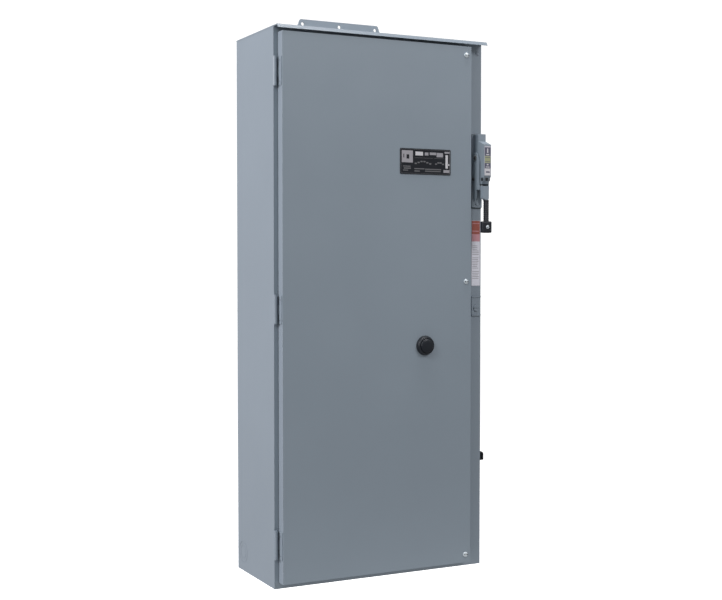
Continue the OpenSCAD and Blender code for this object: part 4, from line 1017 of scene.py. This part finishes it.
def build_door_wiring():
    """Leads that cross the hinge side in a long loop, and the door's earth braid."""
    colours = (RED, BLUE, PALE, YELLOW)
    bundle("door_feed",
           [(190, 46, 448), (204, 58, 452), (150, 96, 462), (80, 130, 450), (40, 176, 420),
            (LOOP_X, 196, 398), (LOOP_X, LOOP_D, 380)], colours, twist=0)
    loop = bundle("door_loop",
                  [(LOOP_X, LOOP_D, 382), (36, 202, 400), (34, 210, 430), (34, 219, 465),
                   (36, 227, 500), (40, 232, 530), (44, 234, 545)], colours, None, twist=0)
    for wire in loop:
        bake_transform(wire)
    bundle("door_leads",
           [(44, 234, 543), (50, 236, 556), (70, LEAD_D, LEAD_Z), (120, LEAD_D, LEAD_Z),
            (200, LEAD_D, LEAD_Z), (222, 233, 564), (236, 227.5, 562), (256, 227.5, 558),
            (276, 236, 552), (310, 238, 550), (322, 226, 552), (330, 200, 556),
            (342, 176, 554), (352, 171, 545), (354, 171, 538)], colours, "door", twist=0)
    clip = Shape()
    for x, d, z in (((22, 30), (201, 209), (384, 385.2)), ((30, 31.2), (194, 209), (381, 388)),
                    ((31, 41), (194, 195), (382, 387)), ((31, 41), (205, 206), (382, 387)),
                    ((40.5, 41.5), (194, 206), (382, 387))):
        clip.block(x, d, z, 0.2)
    clip.done("door_loop_clip", "print_white")
    for index, (x, z) in enumerate(((90, LEAD_Z), (170, LEAD_Z), (296, 550.6))):
        shape = Shape()
        shape.block((x - 7, x + 7), (243.6, 244.9), (z - 7, z + 7), 0.6)
        for d, low, high in (((233.8, 244.0), 4.4, 5.6), ((233.8, 244.0), -5.6, -4.4),
                             ((233.2, 234.4), -5.6, 5.6)):
            shape.block((x - 2, x + 2), d, (z + low, z + high), 0.2)
        shape.done("door_lead_clip_%d" % index, "print_white", "door")
    braid = [BRAID_FROM, (25, 212, 184), (29, 214, 220), (33, 220, 255), (37, 228, 290),
             (42, 234, 318), BRAID_TO]
    strap = Shape().sweep(flow(braid, 8), 4.2, 14, flat=0.35).done("door_braid", "braid", None)
    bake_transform(strap)
    for body, center, way in (("cabinet", (26, 212, 170), (1, 0, 0)),
                              ("door", (46, 240.5, 330), (0, 1, 0))):
        Shape().lathe(center, way, [
            (0, -4.4), (4.0, -4.4), (4.0, 0), (6.4, 0), (6.4, 1.2), (5.0, 1.4), (5.0, 4.2),
            (0, 4.2)], 6).done("braid_nut_" + body, "zinc", body)


def build_panel_trim():
    screws = Shape()
    for x, z in ((60, 60), (440, 60), (60, 1160), (440, 1160), (241, 1160), (241, 60)):
        screws.lathe((x, 18.0, z), FORWARD, [(0, -1), (4.6, -1), (4.6, 1.0), (3.4, 2.4),
                                            (0, 2.8)], 28)
    for x0, x1, z0, z1 in ((318, 428, 120, 134), (318, 428, 200, 214)):
        for x in (x0 + 7, x1 - 7):
            screws.lathe((x, 46.0, (z0 + z1) / 2), FORWARD, [
                (0, -1), (3.6, -1), (3.6, 1.2), (2.8, 2.0), (0, 2.2)], 24)
    screws.done("panel_screws", "zinc", slot=True)
    Shape().block((66, 209), (239.0, 239.8), (586, 752), 0.1).done("pocket_card", "paper", "door")
    decals("pocket_card_rows", "print_grey", 238.9,
           [(74, 196 - (i * 37) % 41, 596 + i * 9, 597.0 + i * 9) for i in range(16)], 0.06, "door")


# Bevel width of each CAD node that stays in sight, in metres
EDGES = {
    "door_panel": 0.0024, "drip_hood": 0.0008, "handle_housing": 0.0022,
    "handle_lever": 0.0012, "handle_base": 0.0008, "right_side": 0.0006,
    "left_side": 0.0006, "upper_bracket": 0.0005, "lower_bracket": 0.0005,
    "breaker_case": 0.0012, "normal_contactor": 0.0012, "emergency_contactor": 0.0012,
    "arc_covers": 0.0015, "lug_blocks": 0.0010, "cable_lugs": 0.0008,
    "load_busbars": 0.0005, "transfer_controller": 0.0010, "button_block": 0.0010,
    "side_staple": 0.0005, "interlock_plate": 0.0006, "operator_slide": 0.0006,
    "mounting_panel": 0.0006, "nameplate": 0.0003, "breaker_toggle": 0.0010,
    "ground_neutral_bars": 0.0006,
}

add_camera()
add_studio()
finish_nodes()
for node_name, width in EDGES.items():
    round_edges(node_name, width)
for build in (print_nameplate, print_indicator, print_safety_label, build_button,
              build_door_screws, build_handle, build_hinges, build_welds, build_power_cables,
              build_lug_screws, build_operating_cables, build_breaker, build_contactors,
              build_controller, build_terminal_strip, build_transformer, build_fuses,
              build_bars, build_wiring, build_door_wiring, build_panel_trim):
    build()
